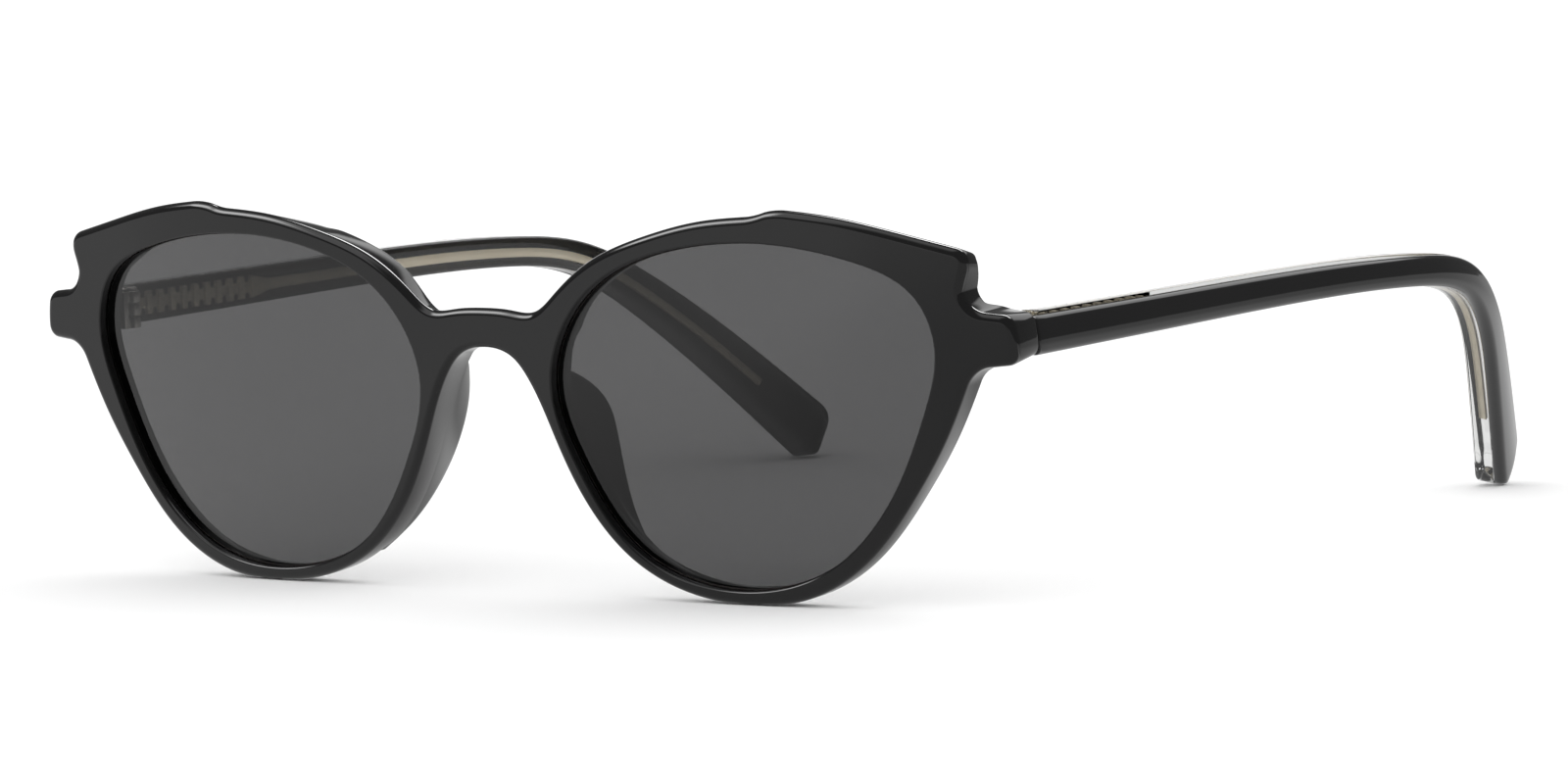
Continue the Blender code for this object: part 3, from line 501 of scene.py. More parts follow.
def brow_zone(u, v):
    """1 along the outer edge from the brow's step to the wing tip, fading towards the bridge, else 0."""
    wing = ramp(np.abs(u), WING_SIDE)
    ends = [over + (at_wing - over) * wing for over, at_wing in zip(BROW_HEIGHT, WING_HEIGHT)]
    return ramp(np.abs(u), BROW_SIDE) * ramp(v, ends)


def wing_tip_zone(u, v):
    """1 round the wing tip, where the back edge is less rounded, else 0."""
    return ramp(np.abs(u), WING_TIP_SIDE) * ramp(v, WING_TIP_HEIGHT)


def draft(u, v):
    """How much further in the back edge lies than the front edge."""
    bridge = ramp(np.abs(u), BRIDGE_SIDE) * ramp(v, BRIDGE_HEIGHT)
    return BRIDGE_DRAFT * bridge + ENDPIECE_DRAFT * joint_zone(u, v) + BROW_DRAFT * brow_zone(u, v)


def edge_rings(loop, profile):
    """Rings of (u, v, w) down one edge of the front; profile gives inset, depth and its side."""
    kept = corners_to_keep(loop)
    normal = outward_normals(loop)[kept]
    base = loop[kept]
    rings = []
    for inset, depth, from_back in profile:
        if from_back:
            scale = 1 - PAD_SHARPER * pad_zone(*base.T) - JOINT_SHARPER * joint_zone(*base.T)
            scale -= WING_TIP_SHARPER * wing_tip_zone(*base.T)
            drafted = inset * scale + draft(*base.T)
            flat = base - normal * drafted[:, None]
            w = back_depth(*flat.T) - depth * scale
        else:
            flat = base - normal * inset
            w = face_depth(*flat.T) + depth
        rings.append(np.column_stack([flat, w]))
    return rings


def rounded_profile(radius, steps=ROUND_STEPS):
    """Inset and depth down a quarter round, from the face to the wall, with a shoulder before it."""
    angles = [math.pi / 2 * k / steps for k in range(steps + 1)]
    quarter = [(radius * (1 - math.sin(a)), radius * (1 - math.cos(a))) for a in angles]
    return [(radius * EDGE_SHOULDER, 0.0)] + quarter


def outer_edge_profile():
    soft = rounded_profile(EDGE_ROUND)
    return [(*place, False) for place in soft] + [(*place, True) for place in reversed(soft)]


def opening_profile():
    """Down the wall of a lens opening, with the groove that holds the lens."""
    soft = rounded_profile(OPENING_ROUND, 3)
    front = [(-inset, depth, False) for inset, depth in soft]
    groove = [(0.0, GROOVE_FRONT, False), (-GROOVE_DEPTH, GROOVE_FRONT + GROOVE_SLOPE, False),
              (-GROOVE_DEPTH, GROOVE_BACK - GROOVE_SLOPE, False), (0.0, GROOVE_BACK, False)]
    back = [(-inset, depth, True) for inset, depth in reversed(soft)]
    return front + groove + back


def build_front(paint):
    """The black front: its outer edge and lens openings, joined by the front and back faces."""
    edges = [edge_rings(front_outline(), outer_edge_profile())]
    edges += [edge_rings(opening_outline(side), opening_profile()) for side in (1, -1)]
    vertices, faces = gather([join_rings(rings, False, False) for rings in edges])
    sizes = [len(rings[0]) for rings in edges]
    first = np.cumsum([0] + [len(rings) * size for rings, size in zip(edges, sizes)])[:3]
    last = [start + (len(rings) - 1) * size for start, rings, size in zip(first, edges, sizes)]
    for starts, place, depth_at in ((first, 0, face_depth), (last, -1, back_depth)):
        flat = [rings[place][:, :2] for rings in edges]
        inner, triangles = fill_between(flat[0], flat[1:], endpiece_foot_points())
        lookup = [start + i for start, size in zip(starts, sizes) for i in range(size)]
        lookup += range(len(vertices), len(vertices) + len(inner))
        vertices += [tuple(p) for p in np.column_stack([inner, depth_at(*inner.T)])]
        faces += [tuple(lookup[i] for i in triangle) for triangle in triangles]
    front = mesh_piece("front_shell", front_to_world(*np.array(vertices).T), faces, [paint])
    stand_in(front, "front_frame", "front")


# ======== lenses
def build_lens(word, side, tint_paint, ground_paint):
    """A domed lens with a ground bevel in front, its edge hidden in the rim's groove."""
    opening = opening_outline(side)
    kept = corners_to_keep(opening)
    rim = opening[kept] + outward_normals(opening)[kept] * LENS_OVERLAP
    centre = opening.mean(axis=0)
    direction = rim - centre
    reach = np.linalg.norm(direction, axis=1)[:, None]
    middle = (GROOVE_FRONT + GROOVE_BACK) / 2
    half = LENS_THICKNESS / 2
    bevel = LENS_OVERLAP + LENS_BEVEL
    cut = LENS_BEVEL + LENS_BEVEL_STEEP

    def ring(scale, inset, offset):
        flat = centre + direction * scale - direction / reach * inset
        share = np.linalg.norm(flat - centre, axis=1) / reach[:, 0]
        w = face_depth(*flat.T) + middle + offset - LENS_BULGE * (1 - share * share)
        return front_to_world(*flat.T, w)

    scales = np.linspace(0.06, 0.96, 16)
    edge = [(bevel, -half), (bevel - cut, cut - half), (0, -LENS_EDGE / 2)]
    rings = [ring(s, 0, -half) for s in scales] + [ring(1, inset, offset) for inset, offset in edge]
    rings += [ring(1, inset, -offset) for inset, offset in edge[::-1]]
    rings += [ring(s, 0, half) for s in scales[::-1]]
    vertices, faces = join_rings(rings)
    first_edge = len(scales) * len(kept)
    paint_of = [int(first_edge <= k < first_edge + len(kept)) for k in range(len(faces))]
    lens = mesh_piece("lens_glass_" + word, vertices, faces, [tint_paint, ground_paint], sharp=24,
                      paint_of=paint_of)
    stand_in(lens, "lens_" + word, "front")


# ======== nose pads
def nasal_edge(v):
    """u of the front's nasal edge at height v."""
    outline = front_outline()
    near, far = NASAL_SIDE
    side = outline[(outline[:, 0] > near) & (outline[:, 0] < far) & (outline[:, 1] < NASAL_TOP)]
    order = np.argsort(side[:, 1])
    return np.interp(v, side[order, 1], side[order, 0])


def build_pad(word, side, paint):
    """A saddle pad that grows out of the back of the nasal rim and fades into it at both ends."""
    crest = cubic_spline([(9.3, -0.4), (9.0, 0.4), (7.0, 3.4), (4.0, 5.2), (0.0, 5.1), (-5.0, 3.6),
                          (-9.5, 1.9), (-12.5, 0.5), (-14.0, -0.4)])
    foot = PAD_THICKNESS + PAD_FLARE
    arc = np.linspace(0, math.pi, 15)
    rises = np.linspace(0, 1, 7)
    rings = []
    for v, depth in crest:
        share = np.clip((PAD_TOP - v) / PAD_SPLAY_SPAN, 0, 1)
        splay = PAD_SPLAY_TOP + (PAD_SPLAY_BOTTOM - PAD_SPLAY_TOP) * share
        height = max(depth, -0.3)
        thickness = PAD_THICKNESS * (PAD_THIN + (1 - PAD_THIN) * smooth_step(height / PAD_FULL_HEIGHT))
        edge = nasal_edge(v)
        base = face_depth(edge, v) + FRONT_THICKNESS
        tip = min(thickness / 2, 0.8 * max(height, 0.1))
        section = [(0.0, -PAD_SUNK), (foot, -PAD_SUNK)]
        for rise in rises[:-1]:
            up = rise * (height - tip)
            section.append((foot + (thickness - foot) * smooth_step(rise * 1.4), up))
        section += [(thickness / 2 * (1 + math.cos(a)), height - tip + tip * math.sin(a)) for a in arc]
        section += [(0.0, rise * (height - tip)) for rise in rises[-2::-1]]
        lean = splay / max(height, 0.5)**0.5
        rings.append([front_to_world(side * (edge + 0.01 + across + lean * max(back, 0)**1.5), v, base + back)
                      for across, back in section])
    vertices, faces = join_rings(rings)
    pad = mesh_piece("nose_saddle_" + word, vertices, faces, [paint], sharp=60)
    stand_in(pad, "nose_pad_" + word, "front")


# ======== temples
def temple_path():
    """Middle line of the +X temple: level, slightly bowed, then bent down and in to the tip."""
    points = [(69.3, TEMPLE_START, 31.0), (69.3, 40.0, 31.4), (69.4, 68.0, 31.7), (69.3, 92.0, 31.1),
              (67.9, 106.0, 28.7), (65.0, 115.1, 23.4), (61.3, 122.9, 16.8), (57.3, 130.6, 9.3),
              (53.6, 137.6, 2.1)]
    return cubic_spline(points, 0.25) + np.array([0.0, FRONT_Y, 0.0])


def temple_height(share):
    """Height of the temple along its length, 0 at the hinge and 1 at the tip."""
    places = np.array([0.0, 0.3, 0.6, 0.72, 0.85, 1.0])
    heights = np.array([4.9, 4.4, 3.9, 4.3, 5.8, 7.4])
    near = np.linspace(-0.04, 0.04, 9)
    return float(np.mean(np.interp(np.clip(share + near, 0, 1), places, heights)))


class TemplePath:
    """The middle line with its directions: along, up the temple's height, and across outwards."""

    def __init__(self, side):
        self.points = temple_path()
        self.reach = run_length(self.points)
        self.length = self.reach[-1]
        self.side = side

    def at(self, s):
        """A place on the path; just before its start the path runs on straight."""
        here = np.array([np.interp(s, self.reach, self.points[:, k]) for k in range(3)])
        return here + np.array([0.0, min(s, 0.0), 0.0])

    def directions(self, s):
        along = self.at(s + 1.5) - self.at(s - 1.5)
        along /= np.linalg.norm(along)
        straight = smooth_step((s - 2.0) / 6.0)
        along = straight * along + (1 - straight) * np.array([0.0, 1.0, 0.0])
        along /= np.linalg.norm(along)
        up = np.cross([1.0, 0.0, 0.0], along)
        up /= np.linalg.norm(up)
        return along, up, np.cross(along, up)

    def ring(self, s, section, shear=0.0):
        """A closed ring of points round the path at s; section lists (across, up) offsets."""
        here = self.at(s)
        along, up, across = self.directions(s)
        points = [here + across * a + up * b - along * shear * b for a, b in section]
        return [(self.side * p[0], p[1], p[2]) for p in points]


def rounded_section(inner, outer, half_height, inner_round, outer_round, steps=6):
    """A rectangle from inner to outer, its corners rounded, as (across, up) points."""
    section = []
    for across, up, turn, radius in ((outer, 1, 0, outer_round), (inner, 1, 1, inner_round),
                                     (inner, -1, 2, inner_round), (outer, -1, 3, outer_round)):
        sign = 1 if across == outer else -1
        centre = (across - sign * radius, up * (half_height - radius))
        for k in range(steps + 1):
            angle = math.pi / 2 * (turn + k / steps)
            section.append((centre[0] + radius * math.cos(angle), centre[1] + radius * math.sin(angle)))
    return section


def crowned_section(inner, outer, half, cut_back):
    """Section of the black layer: flat where bonded, its outer face crowned, its top cut back."""
    half -= cut_back / 2
    radius = min(TEMPLE_ROUND, 0.45 * half)
    low_turn = CROWN_LEAN - CROWN_TURN / 2
    high_turn = CROWN_LEAN + CROWN_TURN / 2
    count = 12
    flat_half = half - radius
    outs = [0.0]
    for k in range(1, count + 1):
        outs.append(outs[-1] - math.tan(low_turn + CROWN_TURN * k / count) * 2 * flat_half / count)
    ups = [-flat_half + 2 * flat_half * k / count for k in range(count + 1)]
    face = [(outer - max(outs) + out, up) for out, up in zip(outs, ups)]

    def bend(foot, first, last):
        turns = np.linspace(first, last, 7)
        return [(foot[0] - radius + radius * math.cos(t), foot[1] + radius * math.sin(t)) for t in turns]

    points = bend(face[0], -math.pi / 2, low_turn) + face[1:-1] + bend(face[-1], high_turn, math.pi / 2)
    points = [(max(across, inner + BOND_EDGE), up) for across, up in points]
    points += [(inner + BOND_EDGE, half), (inner, half - BOND_EDGE), (inner, BOND_EDGE - half),
               (inner + BOND_EDGE, -half)]
    return [(across, up - cut_back / 2) for across, up in points]


def stations(path, start, end):
    """Even places along a temple, closer together in the bend."""
    places = [start]
    while places[-1] < end - 0.3:
        stride = STRIDE if places[-1] / path.length < BEND_START else BEND_STRIDE
        places.append(min(places[-1] + stride, end))
    return places


def layer_places(path, start):
    """Where along the temple a layer has its rings: close together in its rounded ends."""
    quarter = math.pi / 2
    joint_end = [start + JOINT_FACE_ROUND * (1 - math.cos(quarter * k / 4)) for k in range(4)]
    tip = [path.length - END_ROUND * (1 - math.sin(quarter * k / 9)) for k in range(1, 10)]
    return joint_end + stations(path, start + JOINT_FACE_ROUND, path.length - END_ROUND) + tip


def rounded_off(into, radius):
    """How far a rounded end has drawn in, this far into its round."""
    return radius - math.sqrt(max(radius**2 - max(into, 0.0)**2, 0))


def layer_rings(path, start, section_of):
    """Rings of one layer, from the joint to the tip; section_of(half, squeeze, share) draws each."""
    rings = []
    for s in layer_places(path, start):
        share = s / path.length
        tip = rounded_off(s - (path.length - END_ROUND), END_ROUND)
        near = rounded_off(JOINT_FACE_ROUND - (s - start), JOINT_FACE_ROUND)
        half = temple_height(share) / 2 - END_DRAW_IN * tip - END_DRAW_IN * near
        section = section_of(half, END_SQUEEZE * tip + JOINT_SQUEEZE * near, share)
        rings.append(path.ring(s, section, END_SHEAR * ramp(share, SHEAR_ZONE)))
    return rings


def top_cut_back(share):
    """How much lower the black layer's upper edge lies than the clear layer's."""
    return TOP_CUT_BACK * ramp(share, TOP_CUT_ZONE)


def build_black_layer(word, side, paint):
    path = TemplePath(side)
    outer = TEMPLE_THICKNESS / 2
    inner = outer - BLACK_LAYER

    def section_of(half, squeeze, share):
        return crowned_section(inner, outer - squeeze, half, top_cut_back(share))

    rings = layer_rings(path, JOINT_GAP - PATH_GAP, section_of)
    vertices, faces = join_rings(rings)
    layer = mesh_piece("temple_black_" + word, vertices, faces, [paint], sharp=50)
    stand_in(layer, "temple_outer_" + word, "temple_" + word)


def wire_half_height(s):
    head_end = CLEAR_START + RIB_COUNT * RIB_PITCH
    blend = smooth_step((s - head_end) / WIRE_NECK)
    strip = WIRE_HEIGHT - WIRE_TAPER * (s - head_end)
    return (WIRE_HEAD_HEIGHT * (1 - blend) + strip * blend) / 2


def wire_section(half_width, half_height, steps=6):
    """Section of the wire or of its channel, slightly below the middle of the clear layer."""
    section = rounded_section(WIRE_MIDDLE - half_width, WIRE_MIDDLE + half_width, half_height,
                              WIRE_EDGE, WIRE_EDGE, steps)
    return [(across, up - WIRE_DROP) for across, up in section]


def build_clear_layer(word, side, skin_paint, bond_paint):
    """The crystal layer. It has no visible face where it is bonded, nor along the edge over the ribs."""
    path = TemplePath(side)
    inner = -TEMPLE_THICKNESS / 2
    outer = TEMPLE_THICKNESS / 2 - BLACK_LAYER - BOND

    def section_of(half, squeeze, share):
        inner_round = min(TEMPLE_INNER_ROUND, 0.45 * half)
        section = rounded_section(inner + squeeze, outer, half, inner_round, BOND_EDGE)
        return section + [(outer, half - 0.08 - top_cut_back(share))]

    skin = layer_rings(path, CLEAR_START, section_of)
    size = len(skin[0])
    half_width = WIRE_THICKNESS / 2 + BOND
    channel = [path.ring(s, wire_section(half_width, wire_half_height(s) + BOND))
               for s in stations(path, CLEAR_START, path.length - WIRE_END_MARGIN + 0.1)]
    skin_shape, channel_shape = [join_rings(rings, close_start=False) for rings in (skin, channel)]
    vertices, faces = gather([skin_shape, channel_shape])
    head_end = WIRE_START + (RIB_COUNT - 4) * RIB_PITCH
    head_rings = sum(s < head_end for s in layer_places(path, CLEAR_START))
    paint_of = []
    for k in range(len(skin) - 1):
        paint_of += [0] * (size - 2) + [1, int(k < head_rings)]
    paint_of += [0] + [1] * len(channel_shape[1]) + [0] * size
    offset = len(skin_shape[0])
    faces += [(i, (i + 1) % size, offset + (i + 1) % size, offset + i) for i in range(size)]
    layer = mesh_piece("temple_clear_" + word, vertices, faces, [skin_paint, bond_paint], sharp=50,
                       paint_of=paint_of)
    stand_in(layer, "temple_inner_" + word, "temple_" + word)


def build_wire(word, side, paint):
    """The flat core wire: a ribbed head, then a plain strip to near the tip."""
    path = TemplePath(side)
    places = []
    for rib in range(RIB_COUNT - 2):
        foot = WIRE_START + rib * RIB_PITCH
        places += [(foot + along * RIB_PITCH, deep * RIB_DEPTH) for along, deep in RIB_SHAPE]
    places += [(s, 0.0) for s in stations(path, places[-1][0] + 0.2, path.length - WIRE_END_MARGIN)]
    rings = []
    for s, notch in places:
        half_width = WIRE_THICKNESS / 2 - RIB_SQUEEZE * notch
        rings.append(path.ring(s, wire_section(half_width, wire_half_height(s) - notch, 2)))
    vertices, faces = join_rings(rings)
    wire = mesh_piece("wire_core_" + word, vertices, faces, [paint], sharp=30)
    stand_in(wire, "core_wire_" + word, "temple_" + word)


# ======== hinges
def turned(side, profile, count=48):
    """A ring solid: the closed (radius, z) profile swept round the hinge axis."""
    rings = []
    for k in range(count):
        angle = 2 * math.pi * k / count
        rings.append([(side * (HINGE_X + r * math.cos(angle)), HINGE_Y + r * math.sin(angle), z)
                      for r, z in profile])
    size = len(profile)
    vertices = [p for ring in rings for p in ring]
    faces = [(a * size + i, ((a + 1) % count) * size + i, ((a + 1) % count) * size + (i + 1) % size,
              a * size + (i + 1) % size) for a in range(count) for i in range(size)]
    return vertices, faces


def barrel_level(index):
    """Bottom and top of barrel 0, 1 or 2, counted from below."""
    middle = HINGE_Z + (index - 1) * (BARREL_HEIGHT + BARREL_GAP)
    return middle - BARREL_HEIGHT / 2, middle + BARREL_HEIGHT / 2


def barrel(side, index):
    bottom, top = barrel_level(index)
    soft = METAL_EDGE
    nick = 0.3 * soft
    wall = BARREL_RADIUS
    profile = [(BORE_RADIUS, bottom), (wall - soft, bottom), (wall - nick, bottom + nick),
               (wall, bottom + soft), (wall, top - soft), (wall - nick, top - nick), (wall - soft, top),
               (BORE_RADIUS, top)]
    return turned(side, profile)


def soft_box(x0, x1, y0, y1, z0, z1, side, soft=METAL_EDGE):
    """A block with broken edges."""
    nick = 0.3 * soft
    rings = []
    for z, inset in ((z0, soft), (z0 + nick, nick), (z0 + soft, 0), (z1 - soft, 0), (z1 - nick, nick),
                     (z1, soft)):
        reach = soft - inset if inset < soft else 0.02
        ring = []
        for corner_x, corner_y, turn in ((x1, y1, 0), (x0, y1, 1), (x0, y0, 2), (x1, y0, 3)):
            centre_x = corner_x - math.copysign(soft, corner_x - (x0 + x1) / 2)
            centre_y = corner_y - math.copysign(soft, corner_y - (y0 + y1) / 2)
            for k in range(3):
                angle = math.pi / 2 * (turn + k / 2)
                x = centre_x + reach * math.cos(angle)
                ring.append((side * x, centre_y + reach * math.sin(angle), z))
        rings.append(ring)
    return join_rings(rings)


def build_front_hinge(word, side, paint):
    """Leaf on the endpiece's back, with the upper and lower barrels."""
    bottom = barrel_level(0)[0]
    top = barrel_level(2)[1]
    plate_back = HINGE_Y - LEAF_BACK
    shapes = [soft_box(LEAF_INNER, LEAF_OUTER, plate_back - LEAF_THICKNESS, plate_back, bottom, top, side)]
    for index in (0, 2):
        low, high = barrel_level(index)
        shapes.append(barrel(side, index))
        shapes.append(soft_box(HINGE_X - ARM_HALF, HINGE_X + ARM_HALF, plate_back - 0.3, HINGE_Y - 0.75,
                               low, high, side))
    vertices, faces = gather(shapes)
    leaf = mesh_piece("hinge_leaf_front_" + word, vertices, faces, [paint], sharp=30)
    stand_in(leaf, "front_hinge_" + word, "front")


def build_temple_hinge(word, side, paint):
    """Middle barrel, its arm, and the tongue that is set into the head of the temple."""
    low, high = barrel_level(1)
    tongue_x = temple_path()[0][0] + WIRE_MIDDLE
    start = FRONT_Y + TEMPLE_START
    shapes = [barrel(side, 1),
              soft_box(HINGE_X + 0.8, tongue_x + 0.3, HINGE_Y + 0.1, HINGE_Y + 1.3, low, high, side),
              soft_box(tongue_x - TONGUE_THICKNESS / 2, tongue_x + TONGUE_THICKNESS / 2, start + 0.1,
                       start + CLEAR_START + TONGUE_END, HINGE_Z - TONGUE_HEIGHT / 2,
                       HINGE_Z + TONGUE_HEIGHT / 2, side)]
    vertices, faces = gather(shapes)
    leaf = mesh_piece("hinge_leaf_temple_" + word, vertices, faces, [paint], sharp=30)
    stand_in(leaf, "temple_hinge_" + word, "temple_" + word)


def build_screw(word, side, paint):
    """Turned shank and head; the slot is cut as a straight groove through the head's top."""
    top = barrel_level(2)[1] + 0.05
    bottom = barrel_level(0)[0] + 0.1
    high = top + SCREW_HEAD_HEIGHT
    rim = SCREW_HEAD_RADIUS
    profile = [(0.02, bottom), (SCREW_RADIUS - 0.1, bottom), (SCREW_RADIUS, bottom + 0.1),
               (SCREW_RADIUS, top), (rim - 0.05, top), (rim, top + 0.05), (rim, high - 0.2),
               (rim - 0.08, high - 0.08), (rim - 0.25, high), (0.02, high)]
    body = mesh_piece("screw_" + word, *turned(side, profile), [paint], sharp=30)
    slot_box = soft_box(HINGE_X - 1.2, HINGE_X + 1.2, HINGE_Y - SLOT_HALF, HINGE_Y + SLOT_HALF,
                        high - SLOT_DEPTH, high + 1, side, 0.01)
    cutter = mesh_piece("screw_cutter", *slot_box, [paint])
    cut = body.modifiers.new("slot", "BOOLEAN")
    cut.object = cutter
    cut.solver = "EXACT"
    bpy.context.view_layer.update()
    slotted = body.evaluated_get(bpy.context.evaluated_depsgraph_get())
    cut_mesh = bpy.data.meshes.new_from_object(slotted)
    body.modifiers.clear()
    body.data = cut_mesh
    bpy.data.objects.remove(cutter)
    stand_in(body, "hinge_screw_" + word, "front")


# ======== materials
class Nodes:
    """A node tree, with short ways to add and join its nodes."""

    def __init__(self, tree, output):
        self.tree = tree
        self.tree.nodes.clear()
        self.output = self.tree.nodes.new("ShaderNode" + output)

    def node(self, kind, settings=None, **inputs):
        made = self.tree.nodes.new("ShaderNode" + kind)
        for key, value in (settings or {}).items():
            setattr(made, key, value)
        for key, value in inputs.items():
            self.feed(made.inputs[key.replace("_", " ")], value)
        return made

    def feed(self, target, value):
        if isinstance(value, bpy.types.NodeSocket):
            self.tree.links.new(value, target)
        else:
            target.default_value = value

    def math(self, operation, first, second=0.0):
        made = self.node("Math", {"operation": operation})
        self.feed(made.inputs[0], first)
        self.feed(made.inputs[1], second)
        return made.outputs[0]

    def ranged(self, source, low, high, from_low=0.0, from_high=1.0, smooth=False):
        settings = {"interpolation_type": "SMOOTHSTEP" if smooth else "LINEAR"}
        return self.node("MapRange", settings, Value=source, From_Min=from_low, From_Max=from_high,
                         To_Min=low, To_Max=high).outputs["Result"]

    def blend(self, share, first, second):
        """Shader first where share is 0, second where it is 1."""
        mix = self.node("MixShader", Fac=share)
        self.feed(mix.inputs[1], first)
        self.feed(mix.inputs[2], second)
        return mix.outputs["Shader"]

    def tone(self, share, first, second):
        """Colour between two colours."""
        return self.node("MixRGB", Fac=share, Color1=(*first, 1), Color2=(*second, 1)).outputs["Color"]

    def ray_is(self, kind):
        return self.node("LightPath").outputs["Is %s Ray" % kind]

    def finish(self, shader):
        self.feed(self.output.inputs["Surface"], shader)


class Shader(Nodes):
    """The node tree of a new material."""

    def __init__(self, name):
        self.material = bpy.data.materials.new(name)
        self.material.use_nodes = True
        super().__init__(self.material.node_tree, "OutputMaterial")

    def noise(self, scale, detail=2.0, stretch=(1, 1, 1)):
        """Noise over the object's own metres, stretched where asked."""
        place = self.node("TexCoord").outputs["Object"]
        mapped = self.node("Mapping", Vector=place, Scale=stretch).outputs["Vector"]
        return self.node("TexNoise", Vector=mapped, Scale=scale, Detail=detail).outputs["Fac"]

    def bump(self, height, strength, distance):
        return self.node("Bump", Height=height, Strength=strength, Distance=distance).outputs["Normal"]

    def finish(self, shader):
        super().finish(shader)
        return self.material


def principled(shader, **inputs):
    return shader.node("BsdfPrincipled", **inputs).outputs["BSDF"]


def paint_black():
    """Hand-polished black acetate: near black, a deep gloss, slight waves and fine hairlines."""
    s = Shader("black_acetate_polished")
    waves = s.bump(s.noise(160, 1.0), 0.04, 0.0002)
    hairlines = s.noise(900, 3.0, (1, 1, 9))
    roughness = s.ranged(hairlines, 0.03, 0.10, 0.35, 0.75)
    colour = s.tone(s.noise(55, 3.0), (0.003, 0.0031, 0.0034), (0.006, 0.0058, 0.0057))
    return s.finish(principled(s, Base_Color=colour, Roughness=roughness, IOR=1.5, Normal=waves))


def paint_crystal():
    """Clear acetate with a faint cool cast."""
    s = Shader("crystal_acetate_clear")
    waves = s.bump(s.noise(190, 1.0), 0.03, 0.0002)
    roughness = s.ranged(s.noise(700, 2.0), 0.0, 0.03)
    return s.finish(principled(s, Base_Color=(0.92, 0.925, 0.915, 1), Roughness=roughness, IOR=1.49,
                               Transmission_Weight=1.0, Normal=waves))


def paint_bond():
    """A bonded face, where light passes straight on."""
    s = Shader("bonded_face")
    return s.finish(s.node("BsdfTransparent", Color=(1, 1, 1, 1)).outputs["BSDF"])


def paint_lens():
    """Neutral grey tint with the gloss of a polished lens on its outer sides."""
    s = Shader("lens_tint_grey")
    colour = s.tone(s.noise(30, 1.0), (0.272, 0.272, 0.274), (0.28, 0.28, 0.282))
    through = s.node("BsdfTransparent", Color=colour).outputs["BSDF"]
    gloss = s.node("BsdfGlossy", Color=(1, 1, 1, 1), Roughness=s.ranged(s.noise(500, 2.0), 0.01, 0.03))
    outside = s.math("SUBTRACT", 1.0, s.node("NewGeometry").outputs["Backfacing"])
    share = s.math("MULTIPLY", s.node("Fresnel", IOR=1.5).outputs["Fac"], outside)
    return s.finish(s.blend(share, through, gloss.outputs["BSDF"]))


def paint_ground_edge():
    """The lens's ground bevel: matt, brownish grey."""
    s = Shader("lens_ground_edge")
    grains = s.noise(4000, 2.0)
    colour = s.tone(grains, (0.04, 0.035, 0.034), (0.13, 0.115, 0.11))
    return s.finish(principled(s, Base_Color=colour, Roughness=s.ranged(grains, 0.45, 0.6)))


def paint_wire():
    """Champagne-coloured flat wire, drawn along its length."""
    s = Shader("champagne_drawn_wire")
    drawn = s.noise(2600, 3.0, (1, 0.05, 1))
    colour = s.tone(s.noise(140, 2.0), (0.86, 0.76, 0.58), (0.93, 0.85, 0.69))
    return s.finish(principled(s, Base_Color=colour, Metallic=0.55, Roughness=s.ranged(drawn, 0.28, 0.5),
                               Normal=s.bump(drawn, 0.15, 0.00005)))


def paint_metal():
    """Nickel-coloured hinge metal, turned and slightly worn."""
    s = Shader("hinge_nickel")
    turned_marks = s.noise(3000, 2.0, (1, 1, 6))
    colour = s.tone(s.noise(400, 3.0), (0.60, 0.57, 0.53), (0.76, 0.73, 0.69))
    roughness = s.ranged(turned_marks, 0.18, 0.42)
    return s.finish(principled(s, Base_Color=colour, Metallic=1.0, Roughness=roughness,
                               Normal=s.bump(turned_marks, 0.1, 0.00004)))


def paint_floor():
    """A plain white table. For glossy rays it becomes a painted reflection, a glow that is darkest at the
    front right and brightest at the back.
    """
    s = Shader("white_table_with_painted_reflection")
    colour = s.tone(s.noise(3, 2.0), (0.86, 0.86, 0.86), (0.88, 0.88, 0.88))
    table = principled(s, Base_Color=colour, Roughness=0.9, Specular_IOR_Level=0.0)
    place = s.node("SeparateXYZ", Vector=s.node("NewGeometry").outputs["Position"])
    # Masks that set the painted reflection's brightness by place on the table.
    front = s.ranged(place.outputs["X"], 0.76, 0.46, -0.09, 0.04, True)
    behind = s.ranged(place.outputs["Y"], 0.0, 1.0, -0.06, -0.035, True)
    near = s.ranged(place.outputs["Y"], 0.9, 0.0, -0.035, -0.012, True)
    far = s.ranged(place.outputs["Y"], 0.85, 0.55, 0.1, 0.4, True)
    back = s.math("MULTIPLY", behind, s.math("ADD", near, far))
    glow = s.math("ADD", s.math("MULTIPLY", front, s.math("SUBTRACT", 1.0, behind)), back)
    # Painted reflection: in gloss the table glows with this brightness instead of being lit.
    painted_reflection_glow = s.node("Emission", Strength=glow).outputs["Emission"]
    return s.finish(s.blend(s.ray_is("Glossy"), table, painted_reflection_glow))


# ======== studio
CAMERA_PLACE = Vector((0.5555, -0.7632, 0.1074))
CAMERA_AZIMUTH = math.radians(36.45)
CAMERA_ELEVATION = math.radians(5.474)
CAMERA_ROLL = math.radians(-2.107)
CAMERA_LENS = 176.2
PICTURE_WHITE = 1.05
TABLE_LIGHT = 1.7
ROOM_GLOW = 0.22
PANEL_SLANT = 0.44
# Ceiling panels: strength, range across, range ahead, softness of the edges.
PANELS = [(1.5, -1.35, 0.2, -3.0, -0.1, 0.2),
          (9.0, -1.3, -0.4, -1.4, -0.4, 0.15),
          (24.0, -0.75, 0.1, 0.42, 0.66, 0.06),
          (2.0, -1.4, -0.1, 1.1, 1.9, 0.12)]
TABLE_HALF = 4000.0
TABLE_BELOW = 0.0002  # metres under the part, so that the two don't coincide


